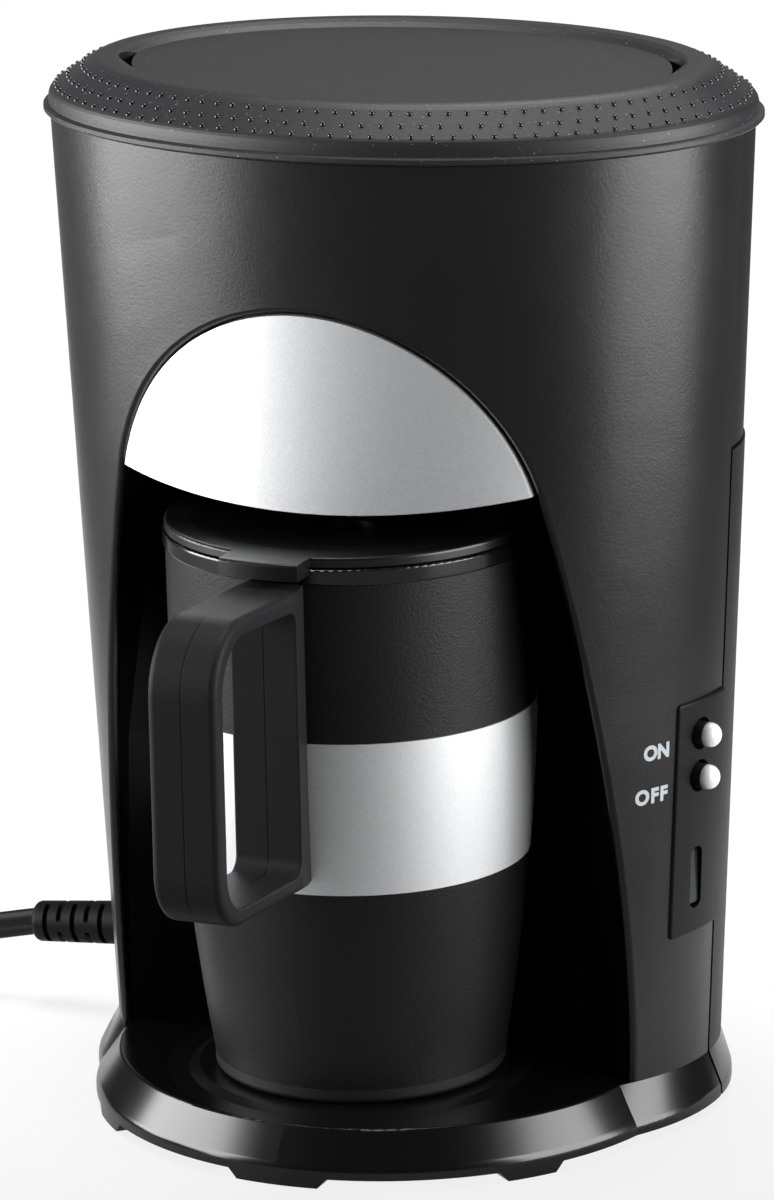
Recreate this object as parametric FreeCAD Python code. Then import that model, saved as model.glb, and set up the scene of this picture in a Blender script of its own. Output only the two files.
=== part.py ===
import FreeCAD, Part
import math
import os
from FreeCAD import Vector

# One-cup drip coffee maker with its insulated mug standing in the bay.
# Millimetres. +Z is up, the front faces -Y and the switches are on the +X side.
# Pieces are modelled round the upright axis of the oval housing, on the table plane,
# and are moved along Y when they are saved so that the origin is under the middle of the whole.

# Housing: an oval that narrows towards the foot
BODY_TOP_HALF_WIDTH = 75.6
BODY_TOP_HALF_DEPTH = 57.5
BODY_FOOT_HALF_WIDTH = 66.6
BODY_FOOT_HALF_DEPTH = 51.8
BODY_HEIGHT = 197.4
WALL = 2.4
SEAM_Y = -0.8
SEAM_GAP = 1.0
TONGUE_THICKNESS = 1.4
TONGUE_REACH = 2.2
REAR_SPLIT_HEIGHT = 130.8
REAR_SPLIT_GAP = 0.6
UPPER_COVER_INSET = 0.4

# Base with the tray that bulges forward under the mug
FOOT_HEIGHT = 2.1
BAND_HEIGHT = 2.1
SLOPE_HEIGHT = 7.3
SHOULDER_ROUND = 3.0
LIP_ROUND = 1.0
SKIRT_FLARE = 3.0
SKIRT_FLARE_DEPTH = 6.2
SKIRT_Y = -3.0
TRAY_RADIUS = 58.3
TRAY_FLARE = 5.4
TRAY_Y = -13.5
BASE_WALL = 2.2
PLATFORM_RADIUS = 36.3
PLATFORM_HEIGHT = 1.0
PLATFORM_EDGE = 2.2
FRONT_FOOT_WIDTH = 18.0
SIDE_FOOT_WIDTH = 11.0
SIDE_FOOT_ANGLE = 49.0
FOOT_DEPTH = 6.0
FOOT_RUN = 1.9
REAR_FOOT_X = 38.0
PLATE_THICKNESS = 2.0
PLATE_GAP = 0.3
BOSS_RADIUS = 4.0
SCREW_RADIUS = 1.4
SCREW_LENGTH = 7.0
SCREW_HEAD_RADIUS = 3.0
SCREW_HEAD_HEIGHT = 1.2
SCREW_PLACES = [(-36.0, -38.0), (36.0, -38.0), (-40.0, 28.0), (40.0, 28.0)]
VENT_LENGTH = 30.0
VENT_WIDTH = 2.4
VENT_STEP = 7.0
VENT_COUNT = 5

# Front opening: an elliptical arch on two bowed legs, with the bright panel in its crown
ARCH_HALF_WIDTH = 47.0
ARCH_RISE = 50.0
ARCH_TOP = 178.0
CORNER_Z = 140.5
LEG_FOOT_HALF_WIDTH = 57.0
LEG_BULGE = 3.8
EDGE_ROUND = 1.2
PANEL_GAP = 0.5
PANEL_SAG = 4.0
PANEL_SHELF_HALF_WIDTH = 28.0
PANEL_SHELF_DEPTH = 9.0
PANEL_SHELF_THICKNESS = 1.8

# Bay behind the opening
LINER_WALL = 2.0
LINER_EDGE = 0.3
LINER_GAP = 0.1
BAY_CLEARANCE = 8.8
BAY_FLANK_Y = -24.0
BAY_FLANK_ANGLE = 25.0
CEILING_Z = 141.0
DRIP_HOLE_CLEARANCE = 2.0

# Mug
MUG_Y = -31.2
MUG_RADIUS = 38.2
MUG_FOOT_RADIUS = 30.6
MUG_MIDDLE_RADIUS = 35.0
MUG_BAND_TOP_RADIUS = 37.9
MUG_HEIGHT = 112.6
MUG_MIDDLE_HEIGHT = 35.7
MUG_SKIN = 0.8
MUG_AIR_GAP = 2.2
MUG_BASE_HEIGHT = 3.0
MUG_FOOT_ROUND = 1.2
BAND_BOTTOM_HEIGHT = 46.9
BAND_TOP_HEIGHT = 79.4
BAND_THICKNESS = 0.3
COLLAR_HEIGHT = 3.5
COLLAR_OVERHANG = 0.5
COLLAR_BORE = 34.0
LID_FLANGE_RADIUS = 38.3
LID_FLANGE_HEIGHT = 2.0
LID_PLUG_DEPTH = 8.0
LID_PLUG_WALL = 2.0
LID_PLUG_GAP = 0.6
LID_DISH_DEPTH = 3.2
LID_DISH_RADIUS = 33.0
LID_DRIP_RADIUS = 5.0
LID_TAB_WIDTH = 17.4
LID_TAB_OFFSET = -1.4
LID_TAB_REACH = 6.5
LID_TAB_DROP = 1.4
SEAL_WIDTH = 2.2
SEAL_GAP = 0.08
SEAL_DEPTH = 4.0
HANDLE_WIDTH = 14.8
HANDLE_REACH = 85.3
HANDLE_GRIP = 4.0
HANDLE_POST = 7.0
HANDLE_ARM = 3.4
HANDLE_TOP_DROP = 0.2
HANDLE_RISE = 2.8
HANDLE_BOTTOM_HEIGHT = 49.7
HANDLE_LOW_RISE = 3.4
HANDLE_TOP_ROUND = 14.0
HANDLE_BOTTOM_ROUND = 12.0
HANDLE_EDGE_ROUND = 1.6
HANDLE_GAP_ROUND = 0.6
HANDLE_INNER_ROUND = 3.0
HANDLE_ROOT_WIDTH = 10.2

# Tank, drip basket and water path
TANK_GAP = 0.4
TANK_WALL = 2.0
TANK_FLOOR_RISE = 3.0
BASKET_Y = -12.0
BASKET_RADIUS = 35.9
BASKET_WALL = 1.6
BASKET_FLOOR_RADIUS = 20.0
BASKET_OUTLET_Y = -24.0
BASKET_FLANGE = 2.4
BASKET_FLANGE_HEIGHT = 1.6
BASKET_RIBS = 12
BASKET_RIB = 1.2
NOZZLE_RADIUS = 6.0
NOZZLE_BORE = 2.5
NOZZLE_DROP = 1.5
WELL_CLEARANCE = 0.6
WELL_WALL = 2.0
WELL_TOP_DROP = 9.7
RISER_Y = 38.0
RISER_RADIUS = 5.0
RISER_BORE = 3.4
RISER_FLANGE = 2.0
RISER_ABOVE = 6.0
RISER_BELOW = 12.0
TOWER_WALL = 1.8
TOWER_GAP = 0.2
NIPPLE_RADIUS = 5.0
NIPPLE_BORE = 3.0
NIPPLE_LENGTH = 9.0
VALVE_RADIUS = 7.5
VALVE_LENGTH = 16.0
VALVE_BALL_RADIUS = 3.6
VALVE_BALL_GAP = 0.8
VALVE_END = 3.0
VALVE_SEAT = 1.0
HEATER_HALF_SPAN = 24.0
HEATER_Y = 37.0
HEATER_TUBE_RADIUS = 6.0
HEATER_TUBE_BORE = 4.0
HEATER_ELEMENT_PITCH = 9.0
HEATER_TOP = 98.0
HEATER_LEG = 38.0
STUB_LENGTH = 8.0
TERMINAL_RADIUS = 1.5
TERMINAL_LENGTH = 10.0
HOSE_WALL = 1.5
BRACKET_SHEET = 1.5
BRACKET_Y = 20.2
BRACKET_EAR_HEIGHT = 14.0
BRACKET_EAR_DROP = 8.0
THERMOSTAT_RADIUS = 8.0
THERMOSTAT_HEIGHT = 7.0
THERMOSTAT_DROP = 18.0
FUSE_SIZE = 6.0
FUSE_LENGTH = 22.0
FUSE_DROP = 30.0

# Lid that lifts off
LID_HALF_WIDTH = 77.0
LID_HALF_DEPTH = 58.8
LID_SEAT_GAP = 0.3
LID_LIP_HEIGHT = 1.7
LID_WALL_INSET = 1.1
LID_WALL_HEIGHT = 2.6
LID_RIM_HALF_WIDTH = 66.5
LID_RIM_HALF_DEPTH = 51.0
LID_RIM_RISE = 6.2
LID_RIM_ROUND = 0.6
LID_RIM_SOFT = 2.4
LID_SHOULDER_SOFT = 1.6
LID_RIM_WIDTH = 5.3
LID_RECESS_DEPTH = 1.4
LID_RECESS_RUN = 3.0
LID_SHELL = 2.2
LID_SKIRT_DEPTH = 6.0
LID_SKIRT_WALL = 1.8
LID_SKIRT_GAP = 0.5
POCKET_LENGTH = 17.0
POCKET_WIDTH = 3.4
POCKET_BOW = 0.6
POCKET_DEPTH = 4.5
POCKET_WALL = 1.2
POCKET_MARGIN = 0.6
POCKET_TURN = 17.0
SHOWER_RADIUS = 30.0
SHOWER_WALL = 1.5
SHOWER_DROP = 4.2
SHOWER_HOLE_RADIUS = 1.2
CHANNEL_HALF_WIDTH = 11.0
CHANNEL_END_MARGIN = 8.5
CHANNEL_RISER_GAP = 1.5

# Switch panel on the right side
SWITCH_FRONT_Y = -17.8
SWITCH_BOTTOM = 41.0
SWITCH_TOP = 92.0
SWITCH_PROUD = 0.7
SWITCH_SHEET = 2.4
SWITCH_CORNER = 1.0
SWITCH_EDGE_ROUND = 0.6
BUTTON_Y = -10.85
ON_BUTTON_Z = 84.45
OFF_BUTTON_Z = 75.35
BUTTON_RADIUS = 2.6
BUTTON_GAP = 0.85
BUTTON_PROUD = 4.4
BUTTON_CROWN = 2.3
BUTTON_FLANGE = 1.2
BUTTON_FLANGE_HEIGHT = 1.6
BUTTON_TRAVEL = 2.5
BUTTON_STEM_RADIUS = 1.4
BUTTON_STEM_LENGTH = 6.0
SWITCH_DEPTH = 7.0
SWITCH_HALF_WIDTH = 6.5
SWITCH_MARGIN = 7.0
SWITCH_BELOW_PANEL = 8.6
STEM_BORE_GAP = 0.4
SLOT_BOTTOM = 46.5
SLOT_HEIGHT = 13.4
SLOT_WIDTH = 4.0
LENS_RECESS = 0.8
LENS_DEPTH = 2.6
LAMP_RADIUS = 2.0
LAMP_LENGTH = 9.0
LAMP_LEAD = 6.0
LAMP_LEAD_RADIUS = 0.4

# Mains cord: a flat two-core lead, drawn as a round tube of the lead's width
CORD_DIAMETER = 6.0
BOOT_Y = 12.0
BOOT_Z = 21.6
BOOT_SLOPE = 5.0
BOOT_ROOT_RADIUS = 5.0
BOOT_TIP_RADIUS = 4.5
BOOT_LENGTH = 31.0
BOOT_INSIDE = 5.0
BOOT_FLANGE = 2.0
BOOT_RINGS = 5
BOOT_SLOT_WIDTH = 1.2
BOOT_SLOT_DEPTH = 1.3
BOOT_RIB_WIDTH = 2.4
BOOT_HOLE_GAP = 0.2
CLAMP_SIZE = (12.0, 14.0, 12.0)
CORD_POINTS = [(-112.5, 12.8), (-131.0, 11.2), (-148.5, 5.5), (-163.0, -5.5), (-172.5, -20.5),
               (-176.8, -39.5)]
CORD_HEIGHTS = [15.2, 10.4, 6.8, 4.8, 4.05, 4.0]
COIL_CENTRE = (-134.0, -58.0)
COIL_RADIUS = 43.0
COIL_PITCH = 6.6
COIL_FLOOR_GAP = 1.0
COIL_TURNS_IN = 2
COIL_CLIMB_STEP = 3.0
COIL_RETURN_STEP = 6.4
COIL_LAYER_STEP = 6.6
COIL_END_RADIUS = 41.7
TIE_THICKNESS = 0.6
TIE_WIDTH = 9.0
TIE_GAP = 0.3
PLUG_LENGTH = 24.0
PLUG_WIDTH = 25.0
PLUG_THICKNESS = 16.0
PLUG_ROUND = 4.0
PLUG_RUN = 36.0
PLUG_FLOOR_GAP = 0.3
BLADE_LENGTH = 17.0
BLADE_WIDTH = 6.3
BLADE_THICKNESS = 1.5
BLADE_SPACING = 12.7

# Heights and places that follow from the sizes above
BASE_TOP = FOOT_HEIGHT + BAND_HEIGHT + SLOPE_HEIGHT
BODY_TOP = BASE_TOP + BODY_HEIGHT
SPLIT_Z = BASE_TOP + REAR_SPLIT_HEIGHT
ARCH_CENTRE_Z = ARCH_TOP - ARCH_RISE
CEILING_TOP = CEILING_Z + LINER_WALL
BAY_RADIUS = MUG_RADIUS + BAY_CLEARANCE
BODY_GAP = 0.3
MUG_FLOOR = BASE_TOP + PLATFORM_HEIGHT + BODY_GAP
MUG_TOP = MUG_FLOOR + MUG_HEIGHT
COLLAR_TOP = MUG_TOP + COLLAR_HEIGHT
MUG_LID_Z = COLLAR_TOP + BODY_GAP
TONGUE_INSET = WALL + LINER_GAP / 2
TANK_INSET = TONGUE_INSET + TONGUE_THICKNESS + TANK_GAP
TANK_FLOOR = CEILING_TOP + TANK_FLOOR_RISE
WELL_TOP = BODY_TOP - WELL_TOP_DROP
TANK_TOP = WELL_TOP - BODY_GAP
WELL_BORE = BASKET_RADIUS + WELL_CLEARANCE
LID_Z = BODY_TOP + LID_SEAT_GAP
LID_RIM_Z = LID_Z + LID_LIP_HEIGHT + LID_WALL_HEIGHT + LID_RIM_RISE
LID_TOP = LID_RIM_Z + LID_RIM_ROUND
LID_ROOF = LID_TOP - LID_RECESS_DEPTH - LID_SHELL
FRONT_EDGE = SEAM_Y - SEAM_GAP / 2
REAR_EDGE = SEAM_Y + SEAM_GAP / 2
ORIGIN_SHIFT = (HANDLE_REACH - MUG_Y - LID_HALF_DEPTH) / 2
FAR = 400.0
OVER = 1.0


def half_width(z):
    """Half width of the oval housing at height z: a straight taper."""
    share = (z - BASE_TOP) / BODY_HEIGHT
    return BODY_FOOT_HALF_WIDTH + share * (BODY_TOP_HALF_WIDTH - BODY_FOOT_HALF_WIDTH)


def half_depth(z):
    """Half depth of the oval housing at height z."""
    share = (z - BASE_TOP) / BODY_HEIGHT
    return BODY_FOOT_HALF_DEPTH + share * (BODY_TOP_HALF_DEPTH - BODY_FOOT_HALF_DEPTH)


def wall_x(y, z, inset=0.0):
    """Distance of the housing's side from the middle plane at a given y and z."""
    return (half_width(z) - inset) * math.sqrt(1 - (y / (half_depth(z) - inset)) ** 2)


def save(name, shape):
    """Write one piece, moved so that the origin is under the middle of the whole."""
    placed = shape.copy()
    placed.translate(Vector(0, ORIGIN_SHIFT, 0))
    placed.exportStep(os.path.join("parts", name + ".step"))


def oval(a, b, z, y=0.0):
    """A flat oval wire with half axes a along X and b along Y."""
    return Part.Wire(Part.Ellipse(Vector(0, y, z), a, b).toShape())


def stack(wires):
    """A solid with straight sides from each wire to the next."""
    return Part.makeLoft(wires, True, True)


def housing(z0, z1, inset):
    """The housing's oval taper between two heights, drawn in by an inset."""
    wires = [oval(half_width(z) - inset, half_depth(z) - inset, z) for z in (z0, z1)]
    return stack(wires)


def box(x0, x1, y0, y1, z0, z1):
    return Part.makeBox(x1 - x0, y1 - y0, z1 - z0, Vector(x0, y0, z0))


def rod(x, y, z0, z1, radius):
    return Part.makeCylinder(radius, z1 - z0, Vector(x, y, z0))


def tube(x, y, z0, z1, radius, bore):
    return rod(x, y, z0, z1, radius).cut(rod(x, y, z0 - OVER, z1 + OVER, bore))


def prism(edges, direction):
    """The solid swept by a closed outline moved along a direction."""
    return Part.Face(Part.Wire(edges)).extrude(direction)


def lines(points):
    """Straight edges through points, closed."""
    ends = points[1:] + points[:1]
    return [Part.LineSegment(p, q).toShape() for p, q in zip(points, ends)]


def front_half():
    return box(-FAR, FAR, -FAR, FRONT_EDGE, -FAR, FAR)


def rear_half():
    return box(-FAR, FAR, REAR_EDGE, FAR, -FAR, FAR)


# Front opening

def crown_x(z, inset=0.0):
    """Half width of the arch's crown at height z, an ellipse."""
    return (ARCH_HALF_WIDTH - inset) * math.sqrt(1 - ((z - ARCH_CENTRE_Z) / (ARCH_RISE - inset)) ** 2)


def opening_half_width(z):
    """Half width of the opening at height z below the crown's corners: a bowed leg."""
    share = (CORNER_Z - z) / (CORNER_Z - BASE_TOP)
    straight = crown_x(CORNER_Z) + share * (LEG_FOOT_HALF_WIDTH - crown_x(CORNER_Z))
    return straight + 4 * LEG_BULGE * share * (1 - share)


def crown_edge(inset):
    """The crown from its right corner over the top to its left corner, in the plane y = 0."""
    rise = Vector(0, 0, ARCH_RISE - inset)
    frame = Part.Ellipse(rise, Vector(ARCH_HALF_WIDTH - inset, 0, 0), Vector(0, 0, 0))
    frame.translate(Vector(0, 0, ARCH_CENTRE_Z))
    right = Vector(crown_x(CORNER_Z, inset), 0, CORNER_Z)
    left = Vector(-right.x, 0, CORNER_Z)
    start = frame.parameter(right)
    end = frame.parameter(left)
    edge = frame.toShape(min(start, end), max(start, end))
    top = edge.valueAt((edge.FirstParameter + edge.LastParameter) / 2)
    if top.z < CORNER_Z:
        edge = frame.toShape(max(start, end), min(start, end) + 2 * math.pi)
    return edge, right, left


def opening_prism():
    """The whole opening, crown and legs, as a cutter that runs out through the front."""
    crown, right, left = crown_edge(0.0)
    foot = BASE_TOP - OVER
    middle_z = (CORNER_Z + BASE_TOP) / 2
    middle = Vector(opening_half_width(middle_z), 0, middle_z)
    right_leg = [Vector(LEG_FOOT_HALF_WIDTH, 0, foot), middle, right]
    left_leg = [Vector(-p.x, 0, p.z) for p in right_leg]
    edges = [
        crown,
        Part.Arc(*right_leg).toShape(),
        Part.Arc(*left_leg).toShape(),
        Part.LineSegment(left_leg[0], right_leg[0]).toShape(),
    ]
    return prism(Part.__sortEdges__(edges), Vector(0, -FAR, 0))


def front_shell():
    """Front half of the housing with the arched opening and the switch panel's cut-out."""
    shell = housing(BASE_TOP, BODY_TOP, 0).cut(housing(BASE_TOP - OVER, BODY_TOP + OVER, WALL))
    shell = shell.common(front_half()).cut(opening_prism()).cut(switch_gate())
    return shell.makeFillet(EDGE_ROUND, opening_edges(shell))


def opening_edges(shell):
    """The opening's edges on the shell's outside: the crown and the two legs."""
    found = []
    for edge in shell.Edges:
        middle = edge.valueAt((edge.FirstParameter + edge.LastParameter) / 2)
        outside = (middle.x / half_width(middle.z)) ** 2 + (middle.y / half_depth(middle.z)) ** 2
        inside_arch = abs(middle.x) < LEG_FOOT_HALF_WIDTH and middle.y < SWITCH_FRONT_Y
        if abs(outside - 1) < 0.001 and inside_arch and edge.BoundBox.ZLength > ARCH_RISE / 2:
            found.append(edge)
    return found


def front_panel():
    """Bright crown panel, flush with the shell, on a shelf that rests on the bay's ceiling."""
    crown, right, left = crown_edge(PANEL_GAP)
    sill = Part.Arc(left, Vector(0, 0, CORNER_Z - PANEL_SAG), right).toShape()
    cutter = prism(Part.__sortEdges__([crown, sill]), Vector(0, -FAR, 0))
    skin = housing(BASE_TOP, BODY_TOP, 0).cut(housing(BASE_TOP - OVER, BODY_TOP + OVER, WALL)).common(cutter)
    shelf_back = -half_depth(CEILING_TOP) + WALL + PANEL_SHELF_DEPTH
    shelf_top = CEILING_TOP + PANEL_SHELF_THICKNESS
    shelf = box(-PANEL_SHELF_HALF_WIDTH, PANEL_SHELF_HALF_WIDTH, -FAR, shelf_back, CEILING_TOP, shelf_top)
    shelf = shelf.common(housing(BASE_TOP, BODY_TOP, WALL / 2))
    return skin.fuse(shelf).removeSplitter()


def rear_cover(z0, z1, tongue_top, inset):
    """One of the two rear covers, with a tongue that closes the seam from inside."""
    skin = housing(z0, z1, inset).cut(housing(z0 - OVER, z1 + OVER, WALL)).common(rear_half())
    tongue = housing(z0, tongue_top, TONGUE_INSET)
    tongue = tongue.cut(housing(z0 - OVER, tongue_top + OVER, TONGUE_INSET + TONGUE_THICKNESS))
    tongue = tongue.common(box(-FAR, FAR, FRONT_EDGE - TONGUE_REACH, REAR_EDGE + TONGUE_REACH, 0, FAR))
    bridge = housing(z0, tongue_top, WALL / 2)
    bridge = bridge.cut(housing(z0 - OVER, tongue_top + OVER, TONGUE_INSET + TONGUE_THICKNESS / 2))
    bridge = bridge.common(box(-FAR, FAR, REAR_EDGE, REAR_EDGE + TONGUE_REACH, 0, FAR))
    return skin.fuse([tongue, bridge]).removeSplitter()


def rear_upper_cover():
    """Upper rear cover, a little smaller than the lower one; its tongue stops under the lid's skirt."""
    tongue_top = BODY_TOP - LID_SKIRT_DEPTH - BODY_GAP
    return rear_cover(SPLIT_Z + REAR_SPLIT_GAP, BODY_TOP, tongue_top, UPPER_COVER_INSET)


def rear_lower_cover():
    """Lower rear cover with the hole for the cord's strain relief."""
    return rear_cover(BASE_TOP, SPLIT_Z, SPLIT_Z, 0.0).cut(boot_hole())


# Bay

def bay_section(z, grow):
    """Plan of the bay at height z: flanks from the opening's edges to a round back."""
    edge = opening_half_width(z) + LINER_EDGE + grow
    radius = BAY_RADIUS + grow
    turn = math.radians(BAY_FLANK_ANGLE)
    side = Vector(radius * math.cos(turn), MUG_Y + radius * math.sin(turn), z)
    flank = Vector(edge, BAY_FLANK_Y, z)
    mouth = Vector(edge, -BODY_TOP_HALF_DEPTH - OVER, z)
    mirror = [Vector(-p.x, p.y, z) for p in (side, flank, mouth)]
    back = Vector(0, MUG_Y + radius, z)
    return Part.Wire([
        Part.LineSegment(mouth, flank).toShape(),
        Part.LineSegment(flank, side).toShape(),
        Part.Arc(side, back, mirror[0]).toShape(),
        Part.LineSegment(mirror[0], mirror[1]).toShape(),
        Part.LineSegment(mirror[1], mirror[2]).toShape(),
        Part.LineSegment(mirror[2], mouth).toShape(),
    ])


def bay_liner():
    """Dark wall round the mug and the ceiling above it, with the drip hole."""
    middle = (BASE_TOP + CEILING_Z) / 2
    outer = stack([bay_section(z, LINER_WALL) for z in (BASE_TOP, middle, CEILING_Z)])
    roof = Part.Face(bay_section(CEILING_Z, LINER_WALL)).extrude(Vector(0, 0, LINER_WALL))
    inner = stack([bay_section(z, 0.0) for z in (BASE_TOP, middle, CEILING_Z)])
    liner = outer.cut(inner).fuse(roof)
    liner = liner.common(housing(BASE_TOP, BODY_TOP, WALL + LINER_GAP))
    hole = rod(0, BASKET_OUTLET_Y, CEILING_Z - OVER, CEILING_TOP + OVER, NOZZLE_RADIUS + DRIP_HOLE_CLEARANCE)
    return liner.cut(hole).removeSplitter()


# Base

def tray_block(inset, z0, z1):
    """The round tray that bulges forward, drawn in by an inset: band, soft shoulder, slope and lip."""
    low = TRAY_Y - TRAY_RADIUS - TRAY_FLARE + inset
    high = TRAY_Y - TRAY_RADIUS + inset
    band_top = FOOT_HEIGHT + BAND_HEIGHT
    outline = rounded(
        [Vector(0, TRAY_Y, z0), Vector(0, low, z0), Vector(0, low, band_top), Vector(0, high, BASE_TOP),
         Vector(0, TRAY_Y, BASE_TOP)],
        [0.0, 0.0, SHOULDER_ROUND, LIP_ROUND, 0.0])
    block = Part.Face(outline).revolve(Vector(0, TRAY_Y, 0), Vector(0, 0, 1), 360)
    return block.common(box(-FAR, FAR, -FAR, FAR, z0, z1))


def skirt_block(inset, z0, z1):
    """The oval skirt under the housing, drawn in by an inset, with the tray's soft shoulder."""
    band_top = FOOT_HEIGHT + BAND_HEIGHT
    top = oval(BODY_FOOT_HALF_WIDTH - inset, BODY_FOOT_HALF_DEPTH - inset, BASE_TOP)
    block = stack([skirt_oval(inset, z0), skirt_oval(inset, band_top), top])
    flat = [edge for edge in block.Edges if edge.BoundBox.ZLength < 0.01]
    shoulder = [edge for edge in flat if abs(edge.BoundBox.ZMin - band_top) < 0.01]
    block = block.makeFillet(SHOULDER_ROUND, shoulder)
    return block.common(box(-FAR, FAR, -FAR, FAR, z0, z1))


def skirt_oval(inset, z):
    """Outline of the skirt's foot, set a little forward of the housing."""
    half_width = BODY_FOOT_HALF_WIDTH + SKIRT_FLARE - inset
    half_depth = BODY_FOOT_HALF_DEPTH + SKIRT_FLARE_DEPTH - inset
    return oval(half_width, half_depth, z, SKIRT_Y)


def boss(x, y):
    """A screw boss under the base's top, with its pilot hole."""
    plate_top = FOOT_HEIGHT + PLATE_THICKNESS
    return rod(x, y, plate_top, BASE_TOP - BASE_WALL / 2, BOSS_RADIUS)


def pilot(x, y):
    return rod(x, y, 0, FOOT_HEIGHT + SCREW_LENGTH, SCREW_RADIUS + 0.05)


def front_feet():
    """Three pads under the tray's edge, with sloped ends."""
    low = TRAY_RADIUS + TRAY_FLARE
    ring = tube(0, TRAY_Y, 0, FOOT_HEIGHT, low, low - FOOT_DEPTH)
    pads = []
    for angle, width in ((-SIDE_FOOT_ANGLE, SIDE_FOOT_WIDTH), (0.0, FRONT_FOOT_WIDTH),
                         (SIDE_FOOT_ANGLE, SIDE_FOOT_WIDTH)):
        gate = foot_gate(0.0, width)
        gate.rotate(Vector(0, 0, 0), Vector(0, 0, 1), angle)
        gate.translate(Vector(0, TRAY_Y, 0))
        pads.append(ring.common(gate))
    return pads


def foot_gate(x, width):
    """A wedge-ended block towards the front that cuts one pad from a ring of pads."""
    half = width / 2
    wide = half + FOOT_RUN
    corners = [(-half, 0), (half, 0), (wide, FOOT_HEIGHT), (-wide, FOOT_HEIGHT)]
    return prism(lines([Vector(x + across, 0, z) for across, z in corners]), Vector(0, -FAR, 0))


def rear_feet():
    """Two pads under the rear skirt."""
    ring = stack([skirt_oval(0.0, z) for z in (0, FOOT_HEIGHT)])
    ring = ring.cut(stack([skirt_oval(FOOT_DEPTH, z) for z in (-OVER, FOOT_HEIGHT + OVER)]))
    pads = []
    for side in (-1, 1):
        gate = foot_gate(side * REAR_FOOT_X, FRONT_FOOT_WIDTH)
        gate.translate(Vector(0, FAR, 0))
        pads.append(ring.common(gate))
    return pads


def base_hollow(inset):
    """The space under the base's top."""
    top = BASE_TOP - BASE_WALL
    return tray_block(inset, -OVER, top).fuse(skirt_block(inset, -OVER, top))


def base_tray():
    """Front of the base: tray, its platform for the mug, side skirts, feet and bosses."""
    block = tray_block(0.0, FOOT_HEIGHT, BASE_TOP).fuse(skirt_block(0.0, FOOT_HEIGHT, BASE_TOP))
    tray = block.cut(base_hollow(BASE_WALL)).common(front_half())
    platform = Part.makeCone(PLATFORM_RADIUS, PLATFORM_RADIUS - PLATFORM_EDGE, PLATFORM_HEIGHT,
                             Vector(0, MUG_Y, BASE_TOP))
    bosses = [boss(x, y) for x, y in SCREW_PLACES if y < SEAM_Y]
    tray = tray.fuse([platform] + front_feet() + bosses)
    for x, y in SCREW_PLACES:
        tray = tray.cut(pilot(x, y))
    return tray.removeSplitter()


def base_rear():
    """Rear of the base: oval skirt, feet and bosses."""
    block = skirt_block(0.0, FOOT_HEIGHT, BASE_TOP)
    top = BASE_TOP - BASE_WALL
    rear = block.cut(skirt_block(BASE_WALL, -OVER, top)).common(rear_half())
    bosses = [boss(x, y) for x, y in SCREW_PLACES if y > SEAM_Y]
    rear = rear.fuse(rear_feet() + bosses)
    for x, y in SCREW_PLACES:
        rear = rear.cut(pilot(x, y))
    return rear.removeSplitter()


def bottom_plate():
    """Flat plate that closes the base, with screw holes and vent slots."""
    inset = BASE_WALL + PLATE_GAP
    plate_top = FOOT_HEIGHT + PLATE_THICKNESS
    plate = tray_block(inset, FOOT_HEIGHT, plate_top).fuse(skirt_block(inset, FOOT_HEIGHT, plate_top))
    for x, y in SCREW_PLACES:
        plate = plate.cut(rod(x, y, 0, BASE_TOP, SCREW_RADIUS + PLATE_GAP))
    for number in range(VENT_COUNT):
        y = (number - (VENT_COUNT - 1) / 2) * VENT_STEP
        plate = plate.cut(box(-VENT_LENGTH / 2, VENT_LENGTH / 2, y - VENT_WIDTH / 2, y + VENT_WIDTH / 2,
                              0, BASE_TOP))
    return plate.removeSplitter()


def bottom_screws():
    """The four screws that hold the bottom plate, as one group."""
    screws = []
    for x, y in SCREW_PLACES:
        head = rod(x, y, FOOT_HEIGHT - SCREW_HEAD_HEIGHT, FOOT_HEIGHT, SCREW_HEAD_RADIUS)
        shank = rod(x, y, FOOT_HEIGHT, FOOT_HEIGHT + SCREW_LENGTH - 0.5, SCREW_RADIUS)
        screws.append(head.fuse(shank).removeSplitter())
    return Part.makeCompound(screws)


# Mug

def mug_outline(grow):
    """Outer line of the mug in the plane x = 0: a bowed taper, then nearly straight to the collar."""
    foot = Vector(0, MUG_Y - MUG_FOOT_RADIUS - grow, MUG_FLOOR + MUG_BASE_HEIGHT)
    middle = Vector(0, MUG_Y - MUG_MIDDLE_RADIUS - grow, MUG_FLOOR + MUG_MIDDLE_HEIGHT)
    band = Vector(0, MUG_Y - MUG_BAND_TOP_RADIUS - grow, MUG_FLOOR + BAND_TOP_HEIGHT)
    top = Vector(0, MUG_Y - MUG_RADIUS - grow, MUG_TOP)
    return [Part.Arc(foot, middle, band).toShape(), Part.LineSegment(band, top).toShape()]


def turned(edges):
    """A solid of revolution about the mug's axis from an open outline, closed along the axis."""
    wire = Part.Wire(Part.__sortEdges__(edges))
    ends = [vertex.Point for vertex in wire.OrderedVertexes]
    first, last = ends[0], ends[-1]
    on_axis = [Vector(0, MUG_Y, p.z) for p in (first, last)]
    closing = [
        Part.LineSegment(last, on_axis[1]).toShape(),
        Part.LineSegment(on_axis[1], on_axis[0]).toShape(),
        Part.LineSegment(on_axis[0], first).toShape(),
    ]
    face = Part.Face(Part.Wire(Part.__sortEdges__(wire.Edges + closing)))
    return face.revolve(Vector(0, MUG_Y, 0), Vector(0, 0, 1), 360)


def mug_block(grow):
    return turned(mug_outline(grow))


def mug_shell():
    """Outer steel skin of the mug."""
    return mug_block(0.0).cut(mug_block(-MUG_SKIN))


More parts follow.
